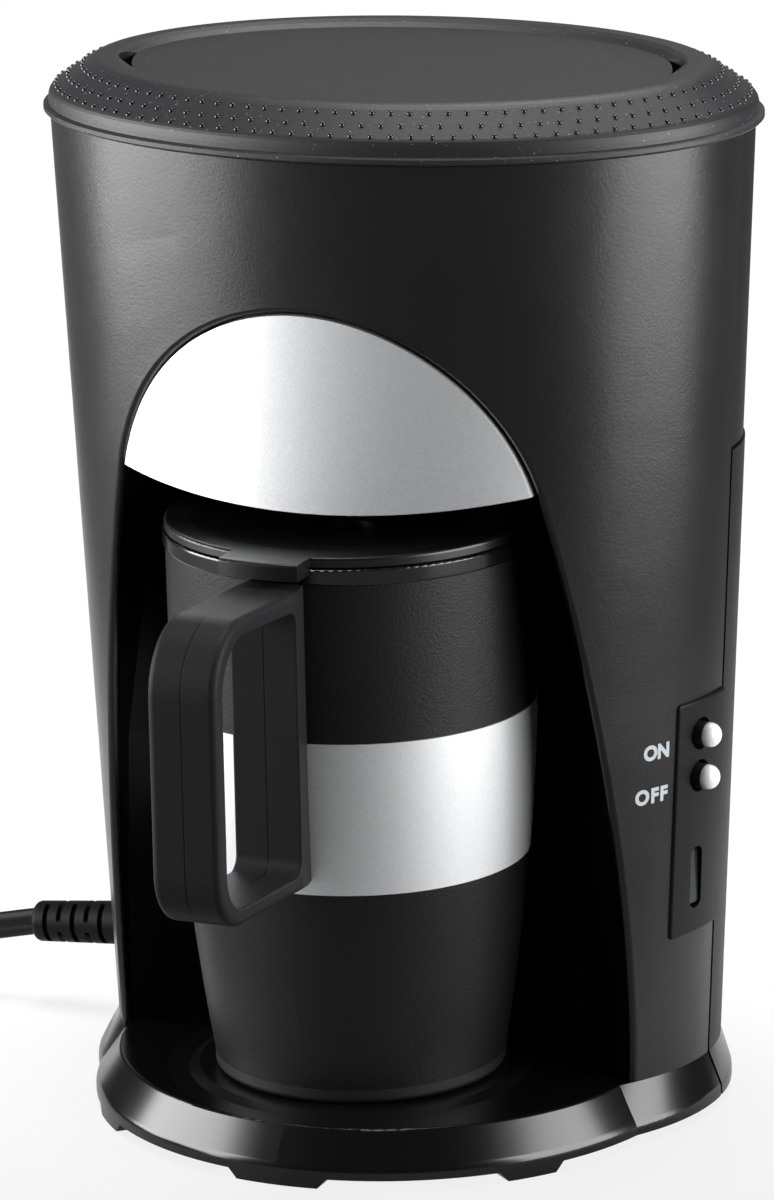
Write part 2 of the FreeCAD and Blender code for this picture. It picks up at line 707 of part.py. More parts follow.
def mug_liner():
    """Inner steel cup, hung from the collar, with an air gap to the outer skin."""
    inset = MUG_SKIN + MUG_AIR_GAP
    floor = MUG_FLOOR + MUG_BASE_HEIGHT + MUG_AIR_GAP
    slab = box(-FAR, FAR, -FAR, FAR, floor, FAR)
    cavity = box(-FAR, FAR, -FAR, FAR, floor + MUG_SKIN, FAR)
    cup = mug_block(-inset).common(slab).cut(mug_block(-inset - MUG_SKIN).common(cavity))
    return cup


def circles(shape):
    """The circular edges of a piece."""
    return [edge for edge in shape.Edges if edge.Curve.TypeId == "Part::GeomCircle"]


def mug_base():
    """Moulded foot of the mug, with a rounded edge."""
    foot = rod(0, MUG_Y, MUG_FLOOR, MUG_FLOOR + MUG_BASE_HEIGHT, MUG_FOOT_RADIUS)
    rim = [edge for edge in circles(foot) if edge.Curve.Center.z < MUG_FLOOR + 0.1]
    return foot.makeFillet(MUG_FOOT_ROUND, rim)


def mug_band():
    """Bright sleeve round the mug, standing a little proud."""
    low = MUG_FLOOR + BAND_BOTTOM_HEIGHT
    high = MUG_FLOOR + BAND_TOP_HEIGHT
    sleeve = mug_block(BAND_THICKNESS).cut(mug_block(0.0))
    return sleeve.common(box(-FAR, FAR, -FAR, FAR, low, high))


def mug_collar():
    """Gloss ring that joins the two steel walls at the top of the mug."""
    outer = MUG_RADIUS + COLLAR_OVERHANG
    ring = tube(0, MUG_Y, MUG_TOP, COLLAR_TOP, outer, COLLAR_BORE)
    rim = [edge for edge in circles(ring) if edge.Curve.Radius > MUG_RADIUS]
    return ring.makeFillet(COLLAR_OVERHANG, rim)


def mug_lid():
    """Lid with a plug that sits in the collar, a dished top with the drip hole and a thumb tab."""
    top = MUG_LID_Z + LID_FLANGE_HEIGHT
    plug_radius = COLLAR_BORE - LID_PLUG_GAP
    flange = rod(0, MUG_Y, MUG_LID_Z, top, LID_FLANGE_RADIUS)
    rim = [edge for edge in circles(flange) if edge.Curve.Center.z > top - 0.1]
    flange = flange.makeFillet(LID_FLANGE_HEIGHT / 3, rim)
    plug = rod(0, MUG_Y, MUG_LID_Z - LID_PLUG_DEPTH, MUG_LID_Z, plug_radius)
    dish_low = top - LID_DISH_DEPTH
    dish = Part.makeCone(LID_DRIP_RADIUS, LID_DISH_RADIUS, LID_DISH_DEPTH, Vector(0, MUG_Y, dish_low))
    hollow_top = dish_low - LID_PLUG_WALL
    hollow = rod(0, MUG_Y, MUG_LID_Z - LID_PLUG_DEPTH - OVER, hollow_top, plug_radius - LID_PLUG_WALL)
    drip = rod(0, MUG_Y, MUG_LID_Z - LID_PLUG_DEPTH - OVER, top + OVER, LID_DRIP_RADIUS)
    lid = flange.fuse([plug, lid_tab(top)]).cut(dish).cut(hollow).cut(drip)
    groove_z = MUG_LID_Z - SEAL_DEPTH - SEAL_WIDTH
    groove_bore = plug_radius - SEAL_WIDTH / 2
    groove = tube(0, MUG_Y, groove_z, groove_z + SEAL_WIDTH, COLLAR_BORE + OVER, groove_bore)
    return lid.cut(groove).removeSplitter()


def lid_tab(top):
    """Thumb tab over the handle: a tongue of the flange with a rounded, turned-down end."""
    reach = LID_FLANGE_RADIUS + LID_TAB_REACH
    left = LID_TAB_OFFSET - LID_TAB_WIDTH / 2
    right = LID_TAB_OFFSET + LID_TAB_WIDTH / 2
    tongue = rod(0, MUG_Y, MUG_LID_Z - LID_TAB_DROP, top, reach)
    tongue = tongue.common(box(left, right, MUG_Y - FAR, MUG_Y - LID_DISH_RADIUS - OVER, -FAR, FAR))
    clear = rod(0, MUG_Y, -FAR, MUG_LID_Z, MUG_RADIUS + COLLAR_OVERHANG + BODY_GAP)
    tongue = tongue.cut(clear)
    end = MUG_Y - LID_FLANGE_RADIUS
    rim = [edge for edge in tongue.Edges if edge.BoundBox.ZMin > top - 0.1 and edge.BoundBox.YMax < end]
    return tongue.makeFillet(LID_FLANGE_HEIGHT / 3, rim)


def mug_lid_seal():
    """Silicone ring in the plug's groove."""
    groove_z = MUG_LID_Z - SEAL_DEPTH - SEAL_WIDTH
    inner = COLLAR_BORE - LID_PLUG_GAP - SEAL_WIDTH / 2
    return tube(0, MUG_Y, groove_z, groove_z + SEAL_WIDTH, COLLAR_BORE - SEAL_GAP, inner)


def rounded(points, radii):
    """A closed outline in the plane x = 0 whose corners are arcs of the given radii (0 leaves a corner)."""
    count = len(points)
    edges = []
    exits = []
    entries = []
    arcs = []
    for number in range(count):
        corner = points[number]
        before = (points[number - 1] - corner).normalize()
        after = (points[(number + 1) % count] - corner).normalize()
        half_turn = math.acos(max(-1.0, min(1.0, before.dot(after)))) / 2
        cut = radii[number] / math.tan(half_turn)
        entry = corner + before * cut
        leave = corner + after * cut
        entries.append(entry)
        exits.append(leave)
        if radii[number] > 0:
            bisector = (before + after).normalize()
            middle = corner + bisector * (radii[number] / math.sin(half_turn) - radii[number])
            arcs.append(Part.Arc(entry, middle, leave).toShape())
        else:
            arcs.append(None)
    for number in range(count):
        if arcs[number]:
            edges.append(arcs[number])
        edges.append(Part.LineSegment(exits[number], entries[(number + 1) % count]).toShape())
    return Part.Wire(edges)


def handle_point(reach, height):
    return Vector(0, MUG_Y - reach, MUG_FLOOR + height)


def mug_handle():
    """Closed loop handle: a flat strap bent round the finger gap, with a root that narrows to the mug."""
    top = MUG_HEIGHT - HANDLE_TOP_DROP
    low = HANDLE_BOTTOM_HEIGHT
    far_low = low + HANDLE_LOW_RISE
    inside = MUG_FOOT_RADIUS
    post = MUG_RADIUS + HANDLE_POST
    grip = HANDLE_REACH - HANDLE_GRIP
    outer = rounded(
        [handle_point(inside, top), handle_point(HANDLE_REACH, top + HANDLE_RISE),
         handle_point(HANDLE_REACH, far_low), handle_point(inside, low)],
        [0.0, HANDLE_TOP_ROUND, HANDLE_BOTTOM_ROUND, 0.0])
    post_low = low + HANDLE_LOW_RISE * (post - inside) / (HANDLE_REACH - inside) + HANDLE_ARM
    inner = rounded(
        [handle_point(post, top - HANDLE_ARM), handle_point(grip, top + HANDLE_RISE - HANDLE_ARM),
         handle_point(grip, far_low + HANDLE_ARM), handle_point(post, post_low)],
        [HANDLE_INNER_ROUND, HANDLE_TOP_ROUND - HANDLE_ARM, HANDLE_BOTTOM_ROUND - HANDLE_ARM,
         HANDLE_INNER_ROUND])
    width = Vector(HANDLE_WIDTH, 0, 0)
    loop = soft_sides(Part.Face(outer).extrude(width), HANDLE_EDGE_ROUND)
    gap = Part.Face(inner).extrude(width)
    loop = loop.cut(gap)
    loop.translate(width * -0.5)
    gap.translate(width * -0.5)
    loop = loop.makeFillet(HANDLE_GAP_ROUND, gap_edges(loop, gap))
    collar_room = rod(0, MUG_Y, MUG_TOP, COLLAR_TOP + OVER, MUG_RADIUS + COLLAR_OVERHANG)
    return loop.cut([mug_block(0.0), mug_band(), collar_room] + root_wedges(post, inside))


def soft_sides(block, radius):
    """Round the long edges of the handle's block where they stand clear of the mug."""
    limit = MUG_Y - MUG_RADIUS - OVER
    long_edges = []
    for edge in block.Edges:
        middle = edge.valueAt((edge.FirstParameter + edge.LastParameter) / 2)
        on_side = min(abs(middle.x), abs(middle.x - HANDLE_WIDTH)) < 0.01
        if on_side and edge.BoundBox.YMin < limit:
            long_edges.append(edge)
    return block.makeFillet(radius, long_edges)


def gap_edges(loop, gap):
    """Edges of the handle that are also edges of the finger gap's block, on its two sides."""
    found = []
    for edge in loop.Edges:
        middle = edge.valueAt((edge.FirstParameter + edge.LastParameter) / 2)
        near = gap.distToShape(Part.Vertex(middle))[0] < 0.01
        if near and abs(abs(middle.x) - HANDLE_WIDTH / 2) < 0.01:
            found.append(edge)
    return found


def root_wedges(post, inside):
    """Two upright wedges that narrow the handle's root towards the mug."""
    half = HANDLE_WIDTH / 2
    root = HANDLE_ROOT_WIDTH / 2
    wall = MUG_MIDDLE_RADIUS
    lean = (half - root) / (post - wall)
    tip = root - lean * (wall - inside)
    corners = [(half, post), (half + OVER, post), (half + OVER, inside), (tip, inside)]
    right = prism(lines([Vector(x, MUG_Y - reach, 0) for x, reach in corners]), Vector(0, 0, FAR))
    return [right, right.mirror(Vector(0, 0, 0), Vector(1, 0, 0))]


# Tank, basket and water path

def water_tank():
    """Open tank round the basket's well, with the riser's tower and the outlet nipple."""
    tank = housing(TANK_FLOOR, TANK_TOP, TANK_INSET)
    tank = tank.cut(housing(TANK_FLOOR + TANK_WALL, TANK_TOP + OVER, TANK_INSET + TANK_WALL))
    well = rod(0, BASKET_Y, CEILING_TOP, WELL_TOP, WELL_BORE + WELL_WALL)
    shelf_clear = box(-FAR, FAR, -FAR, BASKET_Y, 0, CEILING_TOP + PANEL_SHELF_THICKNESS + BODY_GAP)
    well = well.cut(shelf_clear).common(housing(CEILING_TOP, BODY_TOP, TANK_INSET))
    tower = rod(0, RISER_Y, TANK_FLOOR, WELL_TOP, RISER_RADIUS + TOWER_GAP + TOWER_WALL)
    nipple = rod(-HEATER_HALF_SPAN, HEATER_Y, TANK_FLOOR - NIPPLE_LENGTH, TANK_FLOOR, NIPPLE_RADIUS)
    tank = tank.fuse([well, tower, nipple])
    tank = tank.cut(rod(0, BASKET_Y, CEILING_TOP - OVER, BODY_TOP, WELL_BORE))
    tank = tank.cut(rod(0, RISER_Y, TANK_FLOOR - OVER, BODY_TOP, RISER_RADIUS + TOWER_GAP))
    tank = tank.cut(rod(-HEATER_HALF_SPAN, HEATER_Y, 0, TANK_FLOOR + TANK_WALL + OVER, NIPPLE_BORE))
    return tank.removeSplitter()


def basket_cone(inset, z0, z1):
    """Cone from the basket's floor up to its rim, drawn in by an inset."""
    return Part.makeCone(BASKET_FLOOR_RADIUS - inset, BASKET_RADIUS - inset, z1 - z0, Vector(0, BASKET_Y, z0))


def drip_basket():
    """Ribbed cone for the coffee with a flange to lift it by and a nozzle through the ceiling."""
    floor = TANK_FLOOR + BODY_GAP
    rim = WELL_TOP + BODY_GAP
    top = rim + BASKET_FLANGE_HEIGHT
    flange = rod(0, BASKET_Y, rim, top, BASKET_RADIUS + BASKET_FLANGE)
    nozzle = rod(0, BASKET_OUTLET_Y, CEILING_Z - NOZZLE_DROP, floor, NOZZLE_RADIUS)
    solid = basket_cone(0.0, floor, rim).fuse([flange, nozzle])
    mouth = rod(0, BASKET_Y, rim, top + OVER, BASKET_RADIUS - BASKET_WALL)
    floor_slab = rod(0, BASKET_Y, floor - OVER, floor + BASKET_WALL, BASKET_RADIUS)
    inside = basket_cone(BASKET_WALL, floor, rim).cut(floor_slab)
    rib_space = basket_cone(BASKET_WALL + BASKET_RIB, floor, rim)
    for number in range(BASKET_RIBS):
        rib = box(0, BASKET_RADIUS, -BASKET_RIB / 2, BASKET_RIB / 2,
                  floor + 2 * BASKET_WALL, rim - 2 * BASKET_WALL)
        rib.rotate(Vector(0, 0, 0), Vector(0, 0, 1), 360 * (number + 0.5) / BASKET_RIBS)
        rib.translate(Vector(0, BASKET_Y, 0))
        inside = inside.cut(rib.cut(rib_space))
    bore = rod(0, BASKET_OUTLET_Y, CEILING_Z - NOZZLE_DROP - OVER, floor + BASKET_WALL + OVER, NOZZLE_BORE)
    return solid.cut(mouth).cut(inside).cut(bore).removeSplitter()


def riser_pipe():
    """Pipe from under the tank up through the tower, with a flange on the tower's top."""
    top = BODY_TOP - RISER_ABOVE / 2
    pipe = rod(0, RISER_Y, TANK_FLOOR - RISER_BELOW, top, RISER_RADIUS)
    flange = rod(0, RISER_Y, WELL_TOP, WELL_TOP + RISER_FLANGE, RISER_RADIUS + TOWER_WALL)
    return pipe.fuse(flange).cut(rod(0, RISER_Y, 0, FAR, RISER_BORE)).removeSplitter()


def check_valve():
    """Housing of the one-way valve under the tank's nipple, with its ball inside."""
    top = TANK_FLOOR - NIPPLE_LENGTH
    low = top - VALVE_LENGTH
    x = -HEATER_HALF_SPAN
    house = rod(x, HEATER_Y, low, top, VALVE_RADIUS)
    stub = rod(x, HEATER_Y, low - STUB_LENGTH, low, HEATER_TUBE_BORE)
    bore = rod(x, HEATER_Y, low - STUB_LENGTH - OVER, top + OVER, NIPPLE_BORE - VALVE_SEAT)
    house = house.fuse(stub).cut(bore)
    chamber = rod(x, HEATER_Y, low + VALVE_END, top - VALVE_END, VALVE_BALL_RADIUS + VALVE_BALL_GAP)
    return house.cut(chamber).removeSplitter()


def valve_ball():
    low = TANK_FLOOR - NIPPLE_LENGTH - VALVE_LENGTH + VALVE_END
    return Part.makeSphere(VALVE_BALL_RADIUS, Vector(-HEATER_HALF_SPAN, HEATER_Y, low + VALVE_BALL_RADIUS))


def inlet_hose():
    """Silicone hose from the valve down to the heater's cold leg."""
    top = TANK_FLOOR - NIPPLE_LENGTH - VALVE_LENGTH
    radius = HEATER_TUBE_BORE + HOSE_WALL
    return tube(-HEATER_HALF_SPAN, HEATER_Y, HEATER_TOP, top, radius, HEATER_TUBE_BORE)


def soft_route(points, share=0.45):
    """Straight runs joined by tangent arcs, as large as the shorter run allows."""
    edges = []
    radii = []
    start = points[0]
    for number in range(1, len(points) - 1):
        corner = points[number]
        before = points[number - 1] - corner
        after = points[number + 1] - corner
        reach = share * min(before.Length, after.Length)
        before.normalize()
        after.normalize()
        half_turn = math.acos(max(-1.0, min(1.0, before.dot(after)))) / 2
        radius = reach * math.tan(half_turn)
        entry = corner + before * reach
        leave = corner + after * reach
        bisector = (before + after).normalize()
        middle = corner + bisector * (radius / math.sin(half_turn) - radius)
        edges.append(Part.LineSegment(start, entry).toShape())
        edges.append(Part.Arc(entry, middle, leave).toShape())
        radii.append(radius)
        start = leave
    edges.append(Part.LineSegment(start, points[-1]).toShape())
    return Part.Wire(edges), radii


def sweep(path, radius):
    """A round tube along a smooth path."""
    edge = path.Edges[0]
    start = edge.valueAt(edge.FirstParameter)
    heading = edge.tangentAt(edge.FirstParameter)
    ring = Part.Wire(Part.Circle(start, heading, radius).toShape())
    return path.makePipeShell([ring], True, False)


def outlet_hose():
    """Silicone hose from the heater's hot leg over to the riser."""
    radius = HEATER_TUBE_BORE + HOSE_WALL
    top = TANK_FLOOR - RISER_BELOW
    rise = top - HEATER_TOP
    points = [
        Vector(HEATER_HALF_SPAN, HEATER_Y, HEATER_TOP),
        Vector(HEATER_HALF_SPAN, HEATER_Y, HEATER_TOP + 0.42 * rise),
        Vector(0, RISER_Y, top - 0.42 * rise),
        Vector(0, RISER_Y, top),
    ]
    path, radii = soft_route(points)
    hose = sweep(path, radius).cut(sweep(path, HEATER_TUBE_BORE))
    return hose


def heater_path(y):
    """The heater's U: down one leg, round the bend and up the other."""
    bend_z = HEATER_TOP - HEATER_LEG
    left = Vector(-HEATER_HALF_SPAN, y, bend_z)
    right = Vector(HEATER_HALF_SPAN, y, bend_z)
    leg = Vector(0, 0, HEATER_LEG)
    return Part.Wire([
        Part.LineSegment(left + leg, left).toShape(),
        Part.Arc(left, Vector(0, y, bend_z - HEATER_HALF_SPAN), right).toShape(),
        Part.LineSegment(right, right + leg).toShape(),
    ])


def heater():
    """Cast aluminium U: a water tube and a heating element side by side, with stubs and terminals."""
    across = Vector(HEATER_TUBE_RADIUS, 0, 0)
    along = Vector(0, HEATER_TUBE_RADIUS, 0)
    front = HEATER_Y - HEATER_ELEMENT_PITCH
    water = Vector(-HEATER_HALF_SPAN, HEATER_Y, HEATER_TOP)
    element = Vector(-HEATER_HALF_SPAN, front, HEATER_TOP)
    section = Part.Wire([
        Part.LineSegment(element + across, water + across).toShape(),
        Part.Arc(water + across, water + along, water - across).toShape(),
        Part.LineSegment(water - across, element - across).toShape(),
        Part.Arc(element - across, element - along, element + across).toShape(),
    ])
    cast = heater_path(HEATER_Y).makePipeShell([section], True, False)
    cast = cast.cut(sweep(heater_path(HEATER_Y), NIPPLE_BORE))
    extras = []
    for side in (-HEATER_HALF_SPAN, HEATER_HALF_SPAN):
        stub_top = HEATER_TOP + STUB_LENGTH
        extras.append(tube(side, HEATER_Y, HEATER_TOP, stub_top, HEATER_TUBE_BORE, NIPPLE_BORE))
        extras.append(rod(side, front, HEATER_TOP, HEATER_TOP + TERMINAL_LENGTH, TERMINAL_RADIUS))
    return cast.fuse(extras).removeSplitter()


def heater_bracket():
    """Sheet bracket that stands on the base and holds the heater's legs by two ears."""
    inner = HEATER_HALF_SPAN - HEATER_TUBE_RADIUS
    top = HEATER_TOP - BRACKET_EAR_DROP
    sheet = box(-inner, inner, BRACKET_Y, BRACKET_Y + BRACKET_SHEET, BASE_TOP, top)
    window = box(-inner / 2, inner / 2, 0, FAR, BASE_TOP + HEATER_LEG / 2, top - HEATER_LEG / 2)
    foot = box(-inner, inner, BRACKET_Y, HEATER_Y - HEATER_TUBE_RADIUS, BASE_TOP, BASE_TOP + BRACKET_SHEET)
    ears = []
    for side in (-1, 1):
        faces = sorted([side * inner, side * (inner - BRACKET_SHEET)])
        ears.append(box(faces[0], faces[1], BRACKET_Y, HEATER_Y, top - BRACKET_EAR_HEIGHT, top))
    return sheet.cut(window).fuse([foot] + ears).removeSplitter()


def thermostat():
    """Round snap thermostat on the hot leg, with its two tabs."""
    x = HEATER_HALF_SPAN + HEATER_TUBE_RADIUS
    y = HEATER_Y - HEATER_ELEMENT_PITCH / 2
    z = HEATER_TOP - THERMOSTAT_DROP
    body = Part.makeCylinder(THERMOSTAT_RADIUS, THERMOSTAT_HEIGHT, Vector(x, y, z), Vector(1, 0, 0))
    back = x + THERMOSTAT_HEIGHT
    tabs = [box(back, back + 6, y - 3, y + 3, z + s - 0.4, z + s + 0.4) for s in (-4, 4)]
    return body.fuse(tabs).removeSplitter()


def thermal_fuse():
    """Thermal fuse in its sleeve against the cold leg."""
    x = -HEATER_HALF_SPAN - HEATER_TUBE_RADIUS
    y = HEATER_Y - HEATER_ELEMENT_PITCH / 2
    z = HEATER_TOP - FUSE_DROP
    sleeve = box(x - FUSE_SIZE, x, y - FUSE_SIZE / 2, y + FUSE_SIZE / 2, z, z + FUSE_LENGTH)
    leads = [rod(x - FUSE_SIZE / 2, y, end, end + 6, 0.5) for end in (z - 6, z + FUSE_LENGTH)]
    return sleeve.fuse(leads).removeSplitter()


# Lid

def soft_corner(before, corner, after, cut):
    """Points of a soft bend in place of a corner, each point the half axes and height of an oval."""
    start = corner + (before - corner).normalize() * cut
    end = corner + (after - corner).normalize() * cut
    points = []
    for step in range(5):
        share = step / 4
        points.append(start * (1 - share) ** 2 + corner * (2 * share * (1 - share)) + end * share ** 2)
    return points


def lid_outer():
    """Outside of the lid: lip bead, short wall, sloped band and soft rim, as stacked ovals."""
    a = LID_HALF_WIDTH
    b = LID_HALF_DEPTH
    bead = LID_LIP_HEIGHT / 4
    lip_top = LID_Z + LID_LIP_HEIGHT
    inset = LID_WALL_INSET
    wall_low = Vector(a - inset, b - inset, lip_top)
    wall_high = Vector(a - inset, b - inset, lip_top + LID_WALL_HEIGHT)
    slope_end = Vector(LID_RIM_HALF_WIDTH, LID_RIM_HALF_DEPTH, LID_RIM_Z)
    rim = slope_end + (slope_end - wall_high) * (LID_RIM_ROUND / LID_RIM_RISE)
    crown = rim - Vector(LID_RIM_WIDTH, LID_RIM_WIDTH, 0)
    points = [Vector(a - bead, b - bead, LID_Z), Vector(a, b, LID_Z + bead),
              Vector(a, b, lip_top - bead), wall_low]
    points += soft_corner(wall_low, wall_high, rim, LID_SHOULDER_SOFT)
    points += soft_corner(wall_high, rim, crown, LID_RIM_SOFT)
    return stack([oval(p.x, p.y, p.z) for p in points])


def lid():
    """Lift-off lid: dished top with two finger pockets, hollow underneath, with a locating skirt."""
    shell = lid_outer()
    recess_a = LID_RIM_HALF_WIDTH - LID_RIM_WIDTH
    recess_b = LID_RIM_HALF_DEPTH - LID_RIM_WIDTH
    floor = LID_TOP - LID_RECESS_DEPTH
    run = LID_RECESS_RUN
    recess = stack([oval(recess_a - run, recess_b - run, floor),
                    oval(recess_a - run / 2, recess_b - run / 2, floor + LID_RECESS_DEPTH * 0.62),
                    oval(recess_a, recess_b, LID_TOP + 0.01)])
    shell = shell.cut(recess)
    wall_top = LID_Z + LID_LIP_HEIGHT + LID_WALL_HEIGHT
    side = LID_WALL_INSET + LID_SHELL
    roof_a = LID_RIM_HALF_WIDTH - LID_SHELL * 1.6
    roof_b = LID_RIM_HALF_DEPTH - LID_SHELL * 1.6
    hollow = stack([
        oval(LID_HALF_WIDTH - side, LID_HALF_DEPTH - side, LID_Z - OVER),
        oval(LID_HALF_WIDTH - side, LID_HALF_DEPTH - side, wall_top - LID_SHELL / 2),
        oval(roof_a, roof_b, LID_ROOF),
    ])
    shell = shell.cut(hollow)
    skirt_inset = WALL + LID_SKIRT_GAP
    skirt_top = wall_top + LID_SHELL / 2
    skirt_a = BODY_TOP_HALF_WIDTH - skirt_inset
    skirt_b = BODY_TOP_HALF_DEPTH - skirt_inset
    skirt_low = BODY_TOP - LID_SKIRT_DEPTH
    skirt = stack([oval(skirt_a - LID_SKIRT_GAP, skirt_b - LID_SKIRT_GAP, skirt_low),
                   oval(skirt_a, skirt_b, BODY_TOP), oval(skirt_a, skirt_b, skirt_top)])
    inside_a = skirt_a - LID_SKIRT_WALL
    inside_b = skirt_b - LID_SKIRT_WALL
    heights = (skirt_low - OVER, skirt_top + OVER)
    skirt = skirt.cut(stack([oval(inside_a, inside_b, z) for z in heights]))
    skirt = skirt.common(lid_outer().fuse(box(-FAR, FAR, -FAR, FAR, 0, LID_Z + LID_LIP_HEIGHT)))
    shell = shell.fuse(skirt)
    for turn in (POCKET_TURN, POCKET_TURN + 180):
        cup = finger_pocket(turn, recess_a, recess_b, POCKET_WALL, floor)
        shell = shell.fuse(cup).cut(finger_pocket(turn, recess_a, recess_b, 0, LID_TOP + OVER))
    return shell.removeSplitter()


def finger_pocket(turn, recess_a, recess_b, wall, top):
    """A crescent in the sloped edge of the recess, turned round its oval, or with a wall the cup round it."""
    a = recess_a - POCKET_MARGIN
    b = recess_b - POCKET_MARGIN
    across = a * math.cos(math.radians(turn))
    along = b * math.sin(math.radians(turn))
    half = POCKET_LENGTH / 2 + wall
    low = LID_TOP - POCKET_DEPTH - wall
    tip = Vector(-POCKET_WIDTH, -half, low)
    other = Vector(-POCKET_WIDTH, half, low)
    outer = Part.Arc(tip, Vector(wall, 0, low), other).toShape()
    inner = Part.Arc(tip, Vector(POCKET_BOW - POCKET_WIDTH - 2 * wall, 0, low), other).toShape()
    pocket = prism(Part.__sortEdges__([outer, inner]), Vector(0, 0, top - low))
    pocket.rotate(Vector(0, 0, 0), Vector(0, 0, 1), math.degrees(math.atan2(along / b ** 2, across / a ** 2)))
    pocket.translate(Vector(across, along, 0))
    return pocket


def shower_plate():
    """Water spreader under the lid: a channel from above the riser to a pierced dish over the basket."""
    low = BODY_TOP - SHOWER_DROP
    end = RISER_Y + CHANNEL_END_MARGIN
    dish = rod(0, BASKET_Y, low, LID_ROOF, SHOWER_RADIUS)
    arm = box(-CHANNEL_HALF_WIDTH, CHANNEL_HALF_WIDTH, BASKET_Y, end, low, LID_ROOF)
    w = SHOWER_WALL
    dish_in = rod(0, BASKET_Y, low + w, LID_ROOF + OVER, SHOWER_RADIUS - w)
    arm_in = box(-CHANNEL_HALF_WIDTH + w, CHANNEL_HALF_WIDTH - w, BASKET_Y, end - w, low + w, LID_ROOF + OVER)
    plate = dish.fuse(arm).cut(dish_in.fuse(arm_in))
    plate = plate.cut(rod(0, RISER_Y, low - OVER, low + w + OVER, RISER_RADIUS + CHANNEL_RISER_GAP))
    for ring, count in ((0.3, 6), (0.62, 12)):
        for number in range(count):
            turn = 2 * math.pi * number / count
            x = ring * SHOWER_RADIUS * math.cos(turn)
            y = BASKET_Y + ring * SHOWER_RADIUS * math.sin(turn)
            plate = plate.cut(rod(x, y, low - OVER, low + w + OVER, SHOWER_HOLE_RADIUS))
    return plate.removeSplitter()


# Switch panel and buttons

def panel_frame(z):
    """Point on the strip's face at height z, dropped to height 0, and the direction square to the buttons."""
    middle = (ON_BUTTON_Z + OFF_BUTTON_Z) / 2
    x = wall_x(BUTTON_Y, middle, -SWITCH_PROUD)
    outward = Vector(x / half_width(middle) ** 2, BUTTON_Y / half_depth(middle) ** 2, 0).normalize()
    return Vector(wall_x(BUTTON_Y, z, -SWITCH_PROUD), BUTTON_Y, 0), outward


def along_panel(depth0, depth1, radius, z):
    """A rod square to the panel from one depth to another, counted outwards from its face."""
    face, outward = panel_frame(z)
    return Part.makeCylinder(radius, depth1 - depth0, face + outward * depth0 + Vector(0, 0, z), outward)


def panel_block(depth0, depth1, half, z0, z1):
    """A box square to the panel."""
    face, outward = panel_frame((z0 + z1) / 2)
    block = box(depth0, depth1, -half, half, z0, z1)
    turn = math.degrees(math.atan2(outward.y, outward.x))
    block.rotate(Vector(0, 0, 0), Vector(0, 0, 1), turn)
    block.translate(face)
    return block


def switch_gate():
    """The strip's outline on the side of the housing, with two round corners, as a block."""
    gate = box(0, FAR, SWITCH_FRONT_Y, FAR, SWITCH_BOTTOM, SWITCH_TOP)
    corners = [edge for edge in gate.Edges if edge.BoundBox.XLength > FAR / 2 and edge.BoundBox.YMax < 0]
    return gate.makeFillet(SWITCH_CORNER, corners)


def strip_rim(sheet):
    """Edges round the strip's outer face, apart from the one at the seam."""
    found = []
    for edge in sheet.Edges:
        middle = edge.valueAt((edge.FirstParameter + edge.LastParameter) / 2)
        a = half_width(middle.z) + SWITCH_PROUD
        b = half_depth(middle.z) + SWITCH_PROUD
        level = (middle.x / a) ** 2 + (middle.y / b) ** 2
        if abs(level - 1) < 0.001 and middle.y < FRONT_EDGE - 0.01:
            found.append(edge)
    return found


def switch_panel():
    """Strip that stands a little proud, with a soft edge, two button holes and the indicator's slot."""
    sheet = housing(SWITCH_BOTTOM - OVER, SWITCH_TOP + OVER, -SWITCH_PROUD)
    sheet = sheet.cut(housing(SWITCH_BOTTOM - 2 * OVER, SWITCH_TOP + 2 * OVER, SWITCH_SHEET - SWITCH_PROUD))
    sheet = sheet.common(switch_gate()).common(front_half())
    sheet = sheet.makeFillet(SWITCH_EDGE_ROUND, strip_rim(sheet))
    for z in (ON_BUTTON_Z, OFF_BUTTON_Z):
        sheet = sheet.cut(along_panel(-10, 10, BUTTON_RADIUS + BUTTON_GAP, z))
    slot = panel_block(-10, 10, SLOT_WIDTH / 2, SLOT_BOTTOM, SLOT_BOTTOM + SLOT_HEIGHT)
    outward = panel_frame(SLOT_BOTTOM)[1]
    ends = [edge for edge in slot.Edges if abs(edge.tangentAt(edge.FirstParameter).dot(outward)) > 0.99]
    return sheet.cut(slot.makeFillet(SLOT_WIDTH / 2.2, ends)).removeSplitter()


def button(z):
    """A domed push button with a retaining flange and a stem into the switch."""
    inner_face = -SWITCH_SHEET - BODY_GAP
    cap = along_panel(inner_face - BUTTON_FLANGE_HEIGHT, BUTTON_PROUD, BUTTON_RADIUS, z)
    face, outward = panel_frame(z)
    tip = BUTTON_PROUD - BUTTON_CROWN / 2
    rim = [edge for edge in circles(cap) if (edge.Curve.Center - face).dot(outward) > tip]
    cap = cap.makeFillet(BUTTON_CROWN, rim)
    flange = along_panel(inner_face - BUTTON_FLANGE_HEIGHT, 0, BUTTON_RADIUS + BUTTON_FLANGE, z)
    flange = flange.common(housing(SWITCH_BOTTOM, SWITCH_TOP, SWITCH_SHEET - SWITCH_PROUD + BODY_GAP))
    stem_start = inner_face - BUTTON_FLANGE_HEIGHT
    stem = along_panel(stem_start - BUTTON_STEM_LENGTH, stem_start, BUTTON_STEM_RADIUS, z)
    return cap.fuse([flange, stem]).removeSplitter()


def on_button():
    return button(ON_BUTTON_Z)


def off_button():
    return button(OFF_BUTTON_Z)


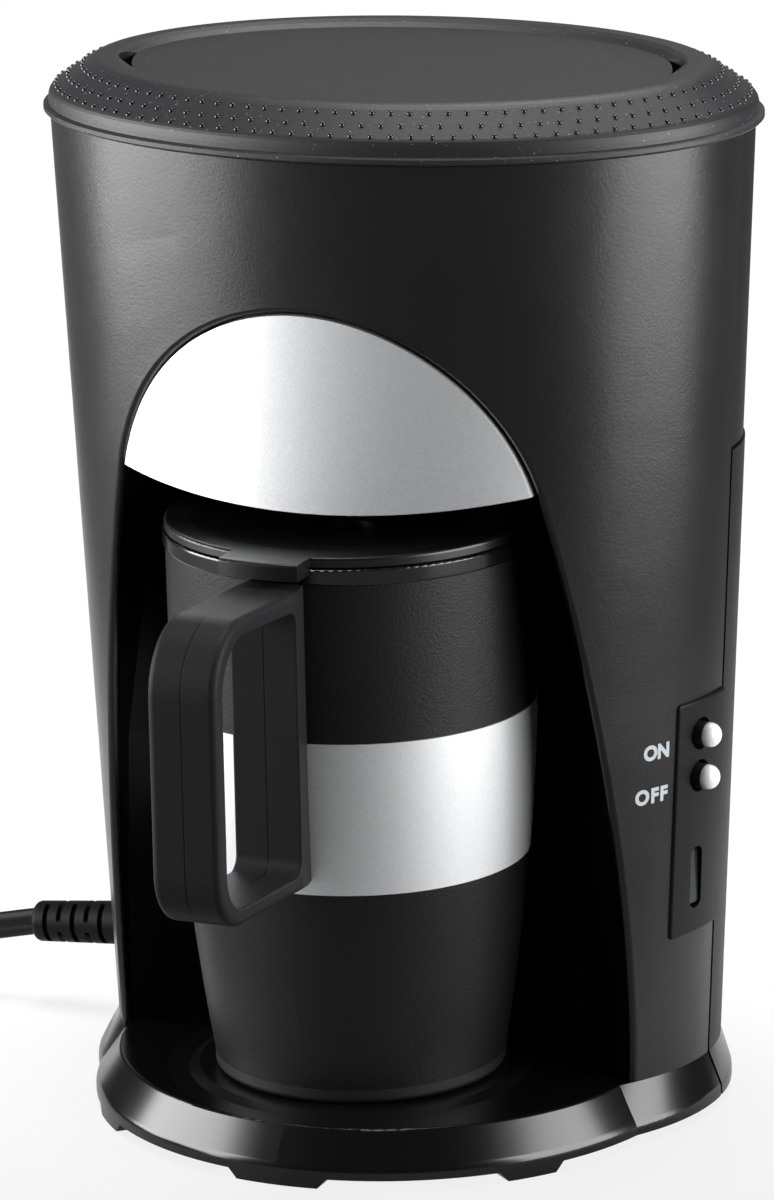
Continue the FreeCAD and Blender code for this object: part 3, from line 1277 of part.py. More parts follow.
def switch_module():
    """Push switch behind the panel, with a bore for each stem, on arms that reach the panel."""
    low = OFF_BUTTON_Z - SWITCH_MARGIN
    high = ON_BUTTON_Z + SWITCH_MARGIN
    top = -SWITCH_BELOW_PANEL
    module = panel_block(top - SWITCH_DEPTH, top, SWITCH_HALF_WIDTH, low, high)
    for z in (ON_BUTTON_Z, OFF_BUTTON_Z):
        bore = BUTTON_STEM_RADIUS + STEM_BORE_GAP
        module = module.cut(along_panel(top - SWITCH_DEPTH + OVER, top + OVER, bore, z))
    arms = []
    for z in (low, high - 2 * OVER):
        arms.append(panel_block(top - SWITCH_DEPTH / 2, 0, SWITCH_HALF_WIDTH / 2, z, z + 2 * OVER))
    inside = housing(SWITCH_BOTTOM - SWITCH_MARGIN, SWITCH_TOP + SWITCH_MARGIN, SWITCH_SHEET - SWITCH_PROUD)
    return module.fuse([arm.common(inside) for arm in arms]).removeSplitter()


def indicator_lens():
    """Clear bar behind the slot, with a flange against the panel's back."""
    bar = panel_block(-LENS_RECESS - LENS_DEPTH, -LENS_RECESS, SLOT_WIDTH / 2 - BODY_GAP, SLOT_BOTTOM + OVER,
                      SLOT_BOTTOM + SLOT_HEIGHT - OVER)
    flange = panel_block(-LENS_RECESS - LENS_DEPTH, 0, SLOT_WIDTH / 2 + OVER, SLOT_BOTTOM - OVER,
                         SLOT_BOTTOM + SLOT_HEIGHT + OVER)
    inside = housing(SWITCH_BOTTOM, SWITCH_TOP, SWITCH_SHEET - SWITCH_PROUD)
    return bar.fuse(flange.common(inside)).removeSplitter()


def indicator_lamp():
    """Small lamp that touches the back of the lens."""
    middle = SLOT_BOTTOM + SLOT_HEIGHT / 2
    face, outward = panel_frame(middle)
    place = face - outward * (LENS_RECESS + LENS_DEPTH + LAMP_RADIUS)
    z = middle - LAMP_LENGTH / 2
    glass = rod(place.x, place.y, z, z + LAMP_LENGTH, LAMP_RADIUS)
    spread = LAMP_RADIUS / 2
    leads = [rod(place.x, place.y + s * spread, z - LAMP_LEAD, z, LAMP_LEAD_RADIUS) for s in (-1, 1)]
    return glass.fuse(leads).removeSplitter()


# Cord

def boot_frame():
    """Where the strain relief's axis meets the wall, and its outward direction."""
    slope = math.radians(BOOT_SLOPE)
    outward = Vector(-math.cos(slope), 0, -math.sin(slope))
    return Vector(-wall_x(BOOT_Y, BOOT_Z), BOOT_Y, BOOT_Z), outward


def boot_hole():
    root, outward = boot_frame()
    start = root - outward * 2 * BOOT_INSIDE
    return Part.makeCylinder(BOOT_ROOT_RADIUS + BOOT_HOLE_GAP, 4 * BOOT_INSIDE, start, outward)


def strain_relief():
    """Tapered boot with ring slots, each bridged by two ribs that alternate sides."""
    root, outward = boot_frame()
    cone = Part.makeCone(BOOT_ROOT_RADIUS, BOOT_TIP_RADIUS, BOOT_LENGTH, root, outward)
    tip = [edge for edge in circles(cone) if edge.Curve.Radius < (BOOT_ROOT_RADIUS + BOOT_TIP_RADIUS) / 2]
    cone = cone.makeFillet(BOOT_SLOT_DEPTH, tip)
    neck = Part.makeCylinder(BOOT_ROOT_RADIUS, BOOT_INSIDE, root - outward * BOOT_INSIDE, outward)
    flange = Part.makeCylinder(BOOT_ROOT_RADIUS + BOOT_FLANGE, BOOT_INSIDE + BOOT_FLANGE,
                               root - outward * (BOOT_INSIDE + BOOT_FLANGE), outward)
    flange = flange.common(housing(BASE_TOP, BODY_TOP, WALL))
    boot = cone.fuse([neck, flange])
    step = BOOT_LENGTH * 0.55 / BOOT_RINGS
    core = BOOT_TIP_RADIUS - BOOT_SLOT_DEPTH
    for number in range(BOOT_RINGS):
        place = root + outward * (BOOT_LENGTH * 0.42 + step * number)
        slot = Part.makeCylinder(BOOT_ROOT_RADIUS + OVER, BOOT_SLOT_WIDTH, place, outward)
        slot = slot.cut(Part.makeCylinder(core, BOOT_SLOT_WIDTH, place, outward))
        half = BOOT_RIB_WIDTH / 2
        if number % 2:
            bridge = box(place.x - FAR, place.x + FAR, place.y - FAR, place.y + FAR,
                         place.z - half, place.z + half)
        else:
            bridge = box(place.x - FAR, place.x + FAR, place.y - half, place.y + half, 0, FAR)
        boot = boot.cut(slot.cut(bridge))
    return boot.removeSplitter()


def cord_clamp():
    """Block on the base that grips the cord's inner end."""
    length, width, height = CLAMP_SIZE
    x = -wall_x(BOOT_Y, BOOT_Z) + WALL + BOOT_INSIDE + BOOT_FLANGE
    block = box(x, x + length, BOOT_Y - width / 2, BOOT_Y + width / 2, BASE_TOP, BASE_TOP + height)
    edges = [edge for edge in block.Edges if edge.BoundBox.ZMin > BASE_TOP + height - 0.1]
    return block.makeChamfer(OVER, edges)


def cord_route():
    """The free stretch of cord, from the strain relief's tip down to the table and round to the coil."""
    root, outward = boot_frame()
    points = [root + outward * BOOT_LENGTH]
    points += [Vector(x, y, z) for (x, y), z in zip(CORD_POINTS, CORD_HEIGHTS)]
    points.append(coil_start())
    return points


def coil_start():
    return Vector(COIL_CENTRE[0] - COIL_RADIUS, COIL_CENTRE[1], COIL_FLOOR_GAP + CORD_DIAMETER / 2)


def power_cord():
    path, radii = soft_route(cord_route())
    solid = sweep(path, CORD_DIAMETER / 2).cut(strain_relief())
    print("cord arcs (mm):", [round(r, 1) for r in radii], "length", round(path.Length, 1))
    print("cord volume ratio:", round(solid.Volume / (path.Length * math.pi * CORD_DIAMETER ** 2 / 4), 4))
    return solid


def arc_along(start, heading, end):
    """The arc that leaves start along heading and ends at end, and its heading there."""
    chord = end - start
    unit = Vector(chord).normalize()
    lean = heading - unit * heading.dot(unit)
    angle = math.atan2(lean.Length, heading.dot(unit))
    side = lean.normalize()
    middle = (start + end) * 0.5 + side * (chord.Length / 2 * math.tan(angle / 2))
    return Part.Arc(start, middle, end).toShape(), (unit * (2 * heading.dot(unit)) - heading)


def coil_path():
    """Loops that spiral in on the lower layer, climb half a turn and spiral out on the upper one."""
    cx, cy = COIL_CENTRE
    low = COIL_FLOOR_GAP + CORD_DIAMETER / 2
    high = low + COIL_LAYER_STEP
    edges = []
    point = coil_start()
    heading = Vector(0, -1, 0)
    radius = COIL_RADIUS
    side = -1
    for number in range(2 * COIL_TURNS_IN):
        radius -= COIL_PITCH / 2
        side = -side
        target = Vector(cx + side * radius, cy, low)
        edge, heading = arc_along(point, heading, target)
        edges.append(edge)
        point = target
    radius -= COIL_CLIMB_STEP
    side = -side
    target = Vector(cx + side * radius, cy, high)
    reach = (target - point).Length / 2
    joint = (point + heading * reach + target + heading * reach) * 0.5
    for stop in (joint, target):
        edge, heading = arc_along(point, heading, stop)
        edges.append(edge)
        point = stop
    for number in range(2 * COIL_TURNS_IN - 1):
        radius += COIL_PITCH / 2 if number else COIL_RETURN_STEP
        side = -side
        target = Vector(cx + side * radius, cy, high)
        edge, heading = arc_along(point, heading, target)
        edges.append(edge)
        point = target
    target = Vector(point.x + COIL_END_RADIUS, cy - COIL_END_RADIUS, high)
    edge, heading = arc_along(point, heading, target)
    edges.append(edge)
    drop = Vector(0, 0, high - PLUG_FLOOR_GAP - PLUG_THICKNESS / 2)
    sag = PLUG_RUN - CORD_DIAMETER
    along = heading
    for stop in (target + along * (sag / 2) - drop * 0.5, target + along * sag - drop):
        edge, heading = arc_along(target, heading, stop)
        edges.append(edge)
        target = stop
    end = target + along * CORD_DIAMETER
    edges.append(Part.LineSegment(target, end).toShape())
    return Part.Wire(edges), end, along


def least_gap(path, skip):
    """Least distance between stretches of a path that are further apart along it than skip, less the tube."""
    step = 2.5
    points = path.discretize(Distance=step)
    apart = int(skip / step)
    least = FAR
    for number, point in enumerate(points):
        for other in points[number + apart:]:
            least = min(least, (point - other).Length)
    return least - CORD_DIAMETER


def cord_coil():
    path, end, heading = coil_path()
    solid = sweep(path, CORD_DIAMETER / 2)
    print("coil length", round(path.Length, 1), "least gap", round(least_gap(path, COIL_RADIUS), 2))
    print("coil volume ratio:", round(solid.Volume / (path.Length * math.pi * CORD_DIAMETER ** 2 / 4), 4))
    return solid


def cord_tie():
    """A flat tie round all the loops on the coil's east side."""
    cx, cy = COIL_CENTRE
    grip = CORD_DIAMETER / 2 + TIE_GAP
    inner = COIL_RADIUS - COIL_PITCH * COIL_TURNS_IN - COIL_CLIMB_STEP - grip
    outer = COIL_RADIUS - COIL_PITCH / 2 + grip
    low = COIL_FLOOR_GAP - TIE_GAP
    high = COIL_FLOOR_GAP + CORD_DIAMETER + COIL_LAYER_STEP + TIE_GAP
    t = TIE_THICKNESS
    band = box(cx + inner - t, cx + outer + t, cy - TIE_WIDTH / 2, cy + TIE_WIDTH / 2, low - t, high + t)
    edges = [edge for edge in band.Edges if abs(edge.tangentAt(edge.FirstParameter).y) > 0.99]
    band = band.makeFillet(2 * t, edges)
    hole = box(cx + inner, cx + outer, cy - TIE_WIDTH, cy + TIE_WIDTH, low, high)
    return band.cut(hole)


def plug_body():
    """Moulded plug lying beside the coil, with finger grips at its waist."""
    path, end, heading = coil_path()
    body = box(end.x, end.x + PLUG_LENGTH, end.y - PLUG_WIDTH / 2, end.y + PLUG_WIDTH / 2,
               end.z - PLUG_THICKNESS / 2, end.z + PLUG_THICKNESS / 2)
    long_edges = [edge for edge in body.Edges if abs(edge.tangentAt(edge.FirstParameter).x) > 0.99]
    body = body.makeFillet(PLUG_ROUND, long_edges)
    waist = PLUG_LENGTH / 3
    for side in (-1, 1):
        grip_y = end.y + side * (PLUG_WIDTH / 2 + waist * 0.7)
        body = body.cut(rod(end.x + waist, grip_y, 0, FAR, waist))
    return body.removeSplitter()


def plug_blades():
    """The two flat blades, as one group."""
    path, end, heading = coil_path()
    blades = []
    for side in (-1, 1):
        y = end.y + side * BLADE_SPACING / 2
        x = end.x + PLUG_LENGTH
        blade = box(x, x + BLADE_LENGTH, y - BLADE_THICKNESS / 2, y + BLADE_THICKNESS / 2,
                    end.z - BLADE_WIDTH / 2, end.z + BLADE_WIDTH / 2)
        blades.append(blade)
    return Part.makeCompound(blades)


PIECES = [
    front_shell, front_panel, rear_upper_cover, rear_lower_cover, bay_liner,
    base_tray, base_rear, bottom_plate, bottom_screws,
    mug_shell, mug_liner, mug_base, mug_band, mug_collar, mug_handle, mug_lid, mug_lid_seal,
    water_tank, drip_basket, riser_pipe, check_valve, valve_ball, inlet_hose, outlet_hose,
    heater, heater_bracket, thermostat, thermal_fuse,
    lid, shower_plate,
    switch_panel, on_button, off_button, switch_module, indicator_lens, indicator_lamp,
    strain_relief, cord_clamp, power_cord, cord_coil, cord_tie, plug_body, plug_blades,
]

os.makedirs("parts", exist_ok=True)
for piece in PIECES:
    save(piece.__name__, piece())
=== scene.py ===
import math

import bpy
import numpy as np
from bpy.props import FloatProperty, FloatVectorProperty, IntProperty, PointerProperty
from mathutils import Matrix, Vector


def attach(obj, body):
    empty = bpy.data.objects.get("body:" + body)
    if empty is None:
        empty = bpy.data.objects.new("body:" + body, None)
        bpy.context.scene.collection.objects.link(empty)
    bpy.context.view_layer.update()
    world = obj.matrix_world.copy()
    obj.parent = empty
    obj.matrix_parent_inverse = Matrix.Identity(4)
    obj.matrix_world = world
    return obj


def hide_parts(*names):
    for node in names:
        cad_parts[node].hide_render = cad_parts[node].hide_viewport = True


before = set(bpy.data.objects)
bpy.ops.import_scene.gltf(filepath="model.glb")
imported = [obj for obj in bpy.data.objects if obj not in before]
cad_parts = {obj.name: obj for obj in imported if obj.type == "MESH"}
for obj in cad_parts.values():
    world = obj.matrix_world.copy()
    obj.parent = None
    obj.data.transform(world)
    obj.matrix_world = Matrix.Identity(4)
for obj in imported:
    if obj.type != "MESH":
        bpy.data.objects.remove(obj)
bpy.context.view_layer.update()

bl_info = {
    "name": "One-cup drip coffee maker",
    "version": (1, 0, 0),
    "blender": (4, 5, 0),
    "location": "3D View > Sidebar > Coffee maker",
    "description": "Dresses the packed coffee maker: cord, lid nubs, switch words, "
                   "finishes and stage",
    "category": "Object",
}

# Metres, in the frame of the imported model: +Z up, the front faces -Y, the switches are on +X.
# HOUSING_Y is where the upright axis of the oval housing stands in that frame.
HOUSING_Y = 0.02885

# The housing's oval at the foot and at the top of its taper: half width and half depth
HOUSING_LOW_Z = 0.0115
HOUSING_HIGH_Z = 0.2089
HOUSING_LOW_HALF = np.array([0.0666, 0.0518])
HOUSING_HIGH_HALF = np.array([0.0756, 0.0575])
OVAL_SAMPLES = 4001      # angles at which a whole oval's length is summed
QUARTER_SAMPLES = 2001   # and those of its front right quarter

# Lid band that carries the nubs, from its outer edge up to the rim
LID_BAND_LOW_Z = 0.2135
LID_BAND_HIGH_Z = 0.2197
LID_BAND_LOW_HALF = np.array([0.0759, 0.0577])
LID_BAND_HIGH_HALF = np.array([0.0665, 0.0510])

# Rows of nubs: share of the way up the band, and shift along the row as a share of one step
NUB_ROWS = ((0.19, 0.0), (0.48, 0.5), (0.82, 0.0))
# One nub: points on a ring, and the angle of each ring from the rim towards the crown
NUB_SIDES = 8
NUB_LIFTS = np.radians([0, 35, 65])

# Switch words: weight of the strokes, space between the letters, lift of the ink off the shell
# and size of its uneven spots
WORD_WEIGHT = 0.05
ON_SPACING = 1.0
OFF_SPACING = 1.2
INK_LIFT = 0.00004
INK_MM = 0.5

# The way the buttons stand out, the height of their lacquered dome and the softness of its edge
BUTTON_AXIS = Vector((0.966807, -0.255509, 0.0))
BUTTON_CAP = 0.0026
BUTTON_EDGE = 0.00015

# The mug's axis, the matt disc round it on the tray and the width of the disc's edge
MUG_Y = -0.00235
TRAY_MATT_RADIUS = 0.0405
TRAY_MATT_EDGE = 0.0006

# Parting line of the handle: half width of its floor and of its whole groove, and its depth
SEAM_FLOOR = 0.00008
SEAM_REACH = 0.00022
SEAM_DEPTH = 0.0001

# Route of the mains cord from the strain relief's tip to the coil, x and y from the housing's axis
CORD_ROUTE = [
    (-0.0961, 0.0120, 0.0189), (-0.1125, 0.0128, 0.0152), (-0.1310, 0.0112, 0.0104),
    (-0.1485, 0.0055, 0.0068), (-0.1630, -0.0055, 0.0048), (-0.1725, -0.0205, 0.00405),
    (-0.1768, -0.0395, 0.0040),
]
# The coil's radius at each half turn; its upper layer is climbed to after COIL_CLIMB half turns
COIL_CENTRE = (-0.134, -0.058)
COIL_HALF_TURN_RADII = [0.0430, 0.0397, 0.0364, 0.0331, 0.0298, 0.0268, 0.0332, 0.0365, 0.0398]
COIL_END_RADIUS = 0.0417
COIL_LOW_Z = 0.0040
COIL_HIGH_Z = 0.0106
COIL_CLIMB = 4
PLUG_RUN = [
    (-0.1210, -0.0997, 0.0103), (-0.1110, -0.0997, 0.0086), (-0.1021, -0.0997, 0.0083),
    (-0.0961, -0.0997, 0.0083),
]
# Cord profile: points round it, width of the bell that makes the groove, power that squares it
CORD_SIDES = 24
CORD_BELL = 0.28
CORD_POWER = 0.8

# Finishes: the span that noise mostly fills, and how far gloss wanders over a surface
NOISE_LOW = 0.3
NOISE_HIGH = 0.7
CLOUD_MM = 35
ROUGH_SPREAD = 0.03
BRUSHED_SPREAD = 0.05
BRUSH_LENGTH_MM = 12
# Pale specks in the lid's grain: cell size, a point's inner and outer radius in cells, and the
# power that leaves few of the points bright
SPECK_MM = 1.1
SPECK_INNER = 0.10
SPECK_OUTER = 0.17
SPECK_POWER = 3.0

# Softboxes: name, its power among the settings, place, width and height; all aim at AIM_Z
SOFTBOXES = (
    ("left_softbox", "left_light", (-0.575, -0.245, 0.25), (0.60, 0.46)),
    ("right_softbox", "right_light", (0.62, 0.01, 0.26), (0.50, 0.52)),
    ("top_softbox", "top_light", (-0.10, 0.10, 1.25), (0.5, 0.5)),
    ("rear_softbox", "rear_light", (0.05, 0.65, 1.2), (0.55, 0.55)),
    ("back_softbox", "back_light", (-0.75, 1.8, 0.55), (1.6, 0.6)),
)
AIM_Z = 0.14
# The floor's own light: how far behind the object, how high, its size and its spread
FLOOR_LIGHT_BEHIND = 0.9
FLOOR_LIGHT_Z = 0.5
FLOOR_LIGHT_SIZE = (0.5, 1.9)
FLOOR_LIGHT_SPREAD = math.radians(30)
# The floor: half its side, size of its cloudy tone, and its share of plain white to the eye and
# in gloss
FLOOR_REACH = 6.0
FLOOR_CLOUD_MM = 500
FLOOR_SEEN_WHITE = 0.85
FLOOR_GLOSS_WHITE = 0.2
# The world's faint light, in linear colour, and the camera's film
WORLD_COLOUR = (0.9, 0.9, 0.92, 1)
WORLD_STRENGTH = 0.05
SENSOR_MM = 36.0


# ---------------------------------------------------------------- colours

def linear(code):
    """An sRGB hex colour as linear RGBA."""
    parts = np.array([int(code[i:i + 2], 16) for i in (1, 3, 5)]) / 255
    low = parts / 12.92
    high = ((parts + 0.055) / 1.055) ** 2.4
    return (*np.where(parts <= 0.04045, low, high), 1.0)


def shades(dark, pale):
    """The two linear colours that a finish varies between, from sRGB hex."""
    return linear(dark), linear(pale)


def tint(code, name, description):
    """A colour setting whose default is an sRGB hex value."""
    return FloatVectorProperty(name=name, description=description, default=linear(code), size=4,
                               min=0.0, max=1.0, subtype="COLOR")


# ---------------------------------------------------------------- settings

class CordSettings(bpy.types.PropertyGroup):
    width: FloatProperty(name="Width", description="Across the two cores", default=0.006,
                         unit="LENGTH")
    thickness: FloatProperty(name="Thickness", description="Through one core", default=0.0031,
                             unit="LENGTH")
    waist: FloatProperty(
        name="Waist", default=0.3, subtype="FACTOR",
        description="Depth of the groove between the cores, as a share of the thickness")
    turn_points: IntProperty(name="Points per turn", default=16,
                             description="Control points on each turn of the coil")


class NubSettings(bpy.types.PropertyGroup):
    per_row: IntProperty(name="Nubs per row", description="Count round the lid", default=100)
    radius: FloatProperty(name="Radius", description="Radius of one nub", default=0.00058,
                          unit="LENGTH")
    height: FloatProperty(name="Height", description="How far one nub stands up", default=0.00046,
                          unit="LENGTH")


class LetterSettings(bpy.types.PropertyGroup):
    cap_height: FloatProperty(name="Cap height", description="Height of the capitals",
                              default=0.0034, unit="LENGTH")
    on_height: FloatProperty(name="Upper word", description="Height of the upper word's middle",
                             default=0.0831, unit="LENGTH")
    off_height: FloatProperty(name="Lower word", description="Height of the lower word's middle",
                              default=0.0738, unit="LENGTH")
    right_edge: FloatProperty(name="Right edge", default=-0.0194, unit="LENGTH",
                              description="Place of the words' right end, from the housing's axis")


class ColourSettings(bpy.types.PropertyGroup):
    shell_dark: tint("#09090a", "Shell, dark", "Hollows of the front shell's grain")
    shell_pale: tint("#0e0e0f", "Shell, pale", "Peaks of the front shell's grain")
    lid_dark: tint("#161618", "Lid, dark", "Hollows of the lid's grain")
    lid_pale: tint("#1f1f22", "Lid, pale", "Peaks of the lid's grain")
    panel_dark: tint("#d8d9da", "Panel, dark", "Duller flakes of the crown panel's lacquer")
    panel_pale: tint("#e6e7e8", "Panel, pale", "Brighter flakes of the crown panel's lacquer")
    mug_dark: tint("#09090a", "Mug, dark", "Hollows of the mug's powder coat")
    mug_pale: tint("#0f0f10", "Mug, pale", "Peaks of the mug's powder coat")
    band_dark: tint("#d2d3d4", "Band, dark", "Duller flakes of the mug band's lacquer")
    band_pale: tint("#e0e1e2", "Band, pale", "Brighter flakes of the mug band's lacquer")
    handle_dark: tint("#1c1c1e", "Handle, dark", "Hollows of the mug handle's grain")
    handle_pale: tint("#242425", "Handle, pale", "Peaks of the mug handle's grain")
    button_dark: tint("#eeeeef", "Buttons, dark", "Duller flakes on the buttons' domes")
    button_pale: tint("#f8f8f8", "Buttons, pale", "Brighter flakes on the buttons' domes")
    word_dark: tint("#a6acb1", "Words, dark", "Thin spots of the printed words")
    word_pale: tint("#b4babf", "Words, pale", "Full spots of the printed words")
    cord_dark: tint("#0c0c0d", "Cord, dark", "Hollows of the cord's skin")
    cord_pale: tint("#111112", "Cord, pale", "Peaks of the cord's skin")


class StageSettings(bpy.types.PropertyGroup):
    azimuth: FloatProperty(name="Camera azimuth", description="Round from the front",
                           default=math.radians(22.75), subtype="ANGLE")
    distance: FloatProperty(name="Camera distance", description="From the housing's axis",
                            default=1.26793, unit="LENGTH")
    height: FloatProperty(name="Camera height", description="Above the floor", default=0.44661,
                          unit="LENGTH")
    pitch: FloatProperty(name="Camera pitch", description="Below the horizon",
                         default=math.radians(15.11), subtype="ANGLE")
    swing: FloatProperty(name="Camera swing", description="Aim beside the axis",
                         default=math.radians(0.221), subtype="ANGLE")
    roll: FloatProperty(name="Camera roll", description="Lean of the frame",
                        default=math.radians(1.144), subtype="ANGLE")
    lens: FloatProperty(name="Focal length", description="For a 36 mm long side", default=186.44,
                        unit="CAMERA")
    left_light: FloatProperty(name="Left light", description="Power of the left softbox",
                              default=9.0, subtype="POWER")
    right_light: FloatProperty(name="Right light", description="Power of the right softbox",
                               default=6.8, subtype="POWER")
    top_light: FloatProperty(name="Top light", description="Power of the overhead softbox",
                             default=6.8, subtype="POWER")
    rear_light: FloatProperty(name="Rear light", description="Power of the softbox up behind",
                              default=5.8, subtype="POWER")
    back_light: FloatProperty(name="Back light", description="Power of the low light behind",
                              default=1.0, subtype="POWER")
    floor_light: FloatProperty(name="Floor light", default=4.0, subtype="POWER",
                               description="Power of the light that whitens the floor")


class CoffeeMakerSettings(bpy.types.PropertyGroup):
    cord: PointerProperty(type=CordSettings)
    nubs: PointerProperty(type=NubSettings)
    letters: PointerProperty(type=LetterSettings)
    colours: PointerProperty(type=ColourSettings)
    stage: PointerProperty(type=StageSettings)


def chosen(finish):
    """The dark and the pale colour that the settings hold for a finish."""
    colours = bpy.context.scene.coffee_maker.colours
    return getattr(colours, finish + "_dark"), getattr(colours, finish + "_pale")


# ---------------------------------------------------------------- helpers

def add(tree, kind, inputs=None, **settings):
    """Adds a node: settings are its own properties, inputs are values or (node, output) links."""
    made = tree.nodes.new(kind)
    for name, value in settings.items():
        setattr(made, name, value)
    for socket, value in (inputs or {}).items():
        if isinstance(value, tuple) and isinstance(value[0], bpy.types.Node):
            tree.links.new(value[0].outputs[value[1]], made.inputs[socket])
        else:
            made.inputs[socket].default_value = value
    return made


def blank(name):
    """A material with an empty node tree and its output."""
    material = bpy.data.materials.new(name)
    material.use_nodes = True
    material.node_tree.nodes.clear()
    out = material.node_tree.nodes.new("ShaderNodeOutputMaterial")
    return material, material.node_tree, out


def first(tree, kind):
    """The first node of a kind in a finish that another finish builds on."""
    return next(node for node in tree.nodes if node.type == kind)


def mm(size):
    """Texture scale at which one pattern cell is that many millimetres."""
    return 1000.0 / size


def piece(name, points, faces, body, material):
    """A mesh object at the origin; a face of four indices whose last two match is a triangle."""
    rows = [row[:3] if row[2] == row[3] else row for row in faces.tolist()]
    mesh = bpy.data.meshes.new(name)
    mesh.from_pydata(points.tolist(), [], rows)
    mesh.polygons.foreach_set("use_smooth", [True] * len(mesh.polygons))
    mesh.materials.append(material)
    made = bpy.data.objects.new(name, mesh)
    bpy.context.scene.collection.objects.link(made)
    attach(made, body)
    return made


def dress(material, *names):
    """Puts one finish on CAD nodes."""
    for name in names:
        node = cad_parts[name]
        node.data.materials.clear()
        node.data.materials.append(material)


def unit(rows):
    """Each row's vector, divided by its own length."""
    return rows / np.linalg.norm(rows, axis=1, keepdims=True)


def tube_faces(rings, sides):
    """Quads of a closed tube of rings, as indices into ring-major points."""
    ring = np.arange(rings - 1)[:, None]
    side = np.arange(sides)[None, :]
    after = (side + 1) % sides
    here, there = ring * sides, (ring + 1) * sides
    quads = np.stack([here + side, here + after, there + after, there + side], -1)
    return quads.reshape(-1, 4)


def oval_walk(half, angles):
    """Points of an oval at these angles, and the length walked to each along their chords."""
    line = np.stack([half[0] * np.cos(angles), half[1] * np.sin(angles)], -1)
    steps = np.linalg.norm(np.diff(line, axis=0), axis=1)
    return line, np.concatenate([[0], np.cumsum(steps)])


def oval_angles(half, count, shift):
    """Angles at equal steps of length round an oval, shifted by a share of one step."""
    angles = np.linspace(0, 2 * np.pi, OVAL_SAMPLES)
    length = oval_walk(half, angles)[1]
    steps = (np.arange(count) + shift) / count * length[-1]
    return np.interp(steps, length, angles)


# ---------------------------------------------------------------- finishes

def fine_skin(name, colour, rough, grain_mm, depth, shine=0.5, speck=None):
    """Moulded plastic or rubber, or a coat: an even sheen with a grain, as a spark-eroded tool
    leaves it, that breaks up the highlights. The grain is drawn coarser than a real one, so that
    it shows."""
    material, tree, out = blank(name)
    place = add(tree, "ShaderNodeTexCoord")
    grain = add(tree, "ShaderNodeTexNoise", {
        "Vector": (place, "Object"), "Scale": mm(grain_mm), "Detail": 3.0, "Roughness": 0.6})
    cloud = add(tree, "ShaderNodeTexNoise", {
        "Vector": (place, "Object"), "Scale": mm(CLOUD_MM), "Detail": 2.0})
    gloss = add(tree, "ShaderNodeMapRange", {
        "Value": (cloud, "Fac"), "From Min": NOISE_LOW, "From Max": NOISE_HIGH,
        "To Min": rough - ROUGH_SPREAD, "To Max": rough + ROUGH_SPREAD})
    shade = add(tree, "ShaderNodeMix", {
        "Factor": (grain, "Fac"), "A": colour[0], "B": colour[1]}, data_type="RGBA")
    if speck:
        # sparse pale points, a third of a millimetre across, in the grain
        speck_cells = add(tree, "ShaderNodeTexVoronoi", {
            "Vector": (place, "Object"), "Scale": mm(SPECK_MM)})
        point = add(tree, "ShaderNodeMapRange", {
            "Value": (speck_cells, "Distance"), "From Min": SPECK_INNER, "From Max": SPECK_OUTER,
            "To Min": 1.0, "To Max": 0.0})
        draw = add(tree, "ShaderNodeSeparateColor", {"Color": (speck_cells, "Color")})
        some = add(tree, "ShaderNodeMath", {0: (draw, "Red"), 1: SPECK_POWER}, operation="POWER")
        few = add(tree, "ShaderNodeMath", {
            0: (point, "Result"), 1: (some, "Value")}, operation="MULTIPLY")
        shade = add(tree, "ShaderNodeMix", {
            "Factor": (few, "Value"), "A": (shade, "Result"), "B": speck}, data_type="RGBA")
    bump = add(tree, "ShaderNodeBump", {
        "Height": (grain, "Fac"), "Strength": 0.5, "Distance": depth})
    skin = add(tree, "ShaderNodeBsdfPrincipled", {
        "Base Color": (shade, "Result"), "Roughness": (gloss, "Result"),
        "Normal": (bump, "Normal"), "Specular IOR Level": shine})
    tree.links.new(skin.outputs[0], out.inputs["Surface"])
    return material


def seamed_plastic(name, colour, rough, grain_mm, depth, shine):
    """Moulded plastic with the parting line of its tool: a hair-fine dark groove on x = 0."""
    material = fine_skin(name, colour, rough, grain_mm, depth, shine)
    tree = material.node_tree
    skin, bump, shade = (first(tree, kind) for kind in ("BSDF_PRINCIPLED", "BUMP", "MIX"))
    place = add(tree, "ShaderNodeTexCoord")
    split = add(tree, "ShaderNodeSeparateXYZ", {"Vector": (place, "Object")})
    away = add(tree, "ShaderNodeMath", {0: (split, "X")}, operation="ABSOLUTE")
    line = add(tree, "ShaderNodeMapRange", {
        "Value": (away, "Value"), "From Min": SEAM_FLOOR, "From Max": SEAM_REACH})
    groove = add(tree, "ShaderNodeBump", {
        "Height": (line, "Result"), "Normal": (bump, "Normal"), "Strength": 0.3,
        "Distance": SEAM_DEPTH})
    dark = add(tree, "ShaderNodeMix", {
        "Factor": (line, "Result"), "A": linear("#050505"), "B": (shade, "Result")},
        data_type="RGBA")
    tree.links.new(groove.outputs["Normal"], skin.inputs["Normal"])
    tree.links.new(dark.outputs["Result"], skin.inputs["Base Color"])
    return material


def tray_plastic(name, colour, rough, matt, centre, radius):
    """Polished ABS with an etched disc round the mug's place: a black mirror, softer inside it."""
    material = fine_skin(name, colour, rough, grain_mm=2.0, depth=0.000003, shine=0.55)
    tree = material.node_tree
    skin = first(tree, "BSDF_PRINCIPLED")
    place = add(tree, "ShaderNodeTexCoord")
    flat = add(tree, "ShaderNodeMapping", {"Vector": (place, "Object"), "Scale": (1.0, 1.0, 0.0)})
    away = add(tree, "ShaderNodeVectorMath", {
        0: (flat, "Vector"), 1: centre}, operation="DISTANCE")
    gloss = add(tree, "ShaderNodeMapRange", {
        "Value": (away, "Value"), "From Min": radius, "From Max": radius + TRAY_MATT_EDGE,
        "To Min": matt, "To Max": rough})
    tree.links.new(gloss.outputs["Result"], skin.inputs["Roughness"])
    return material


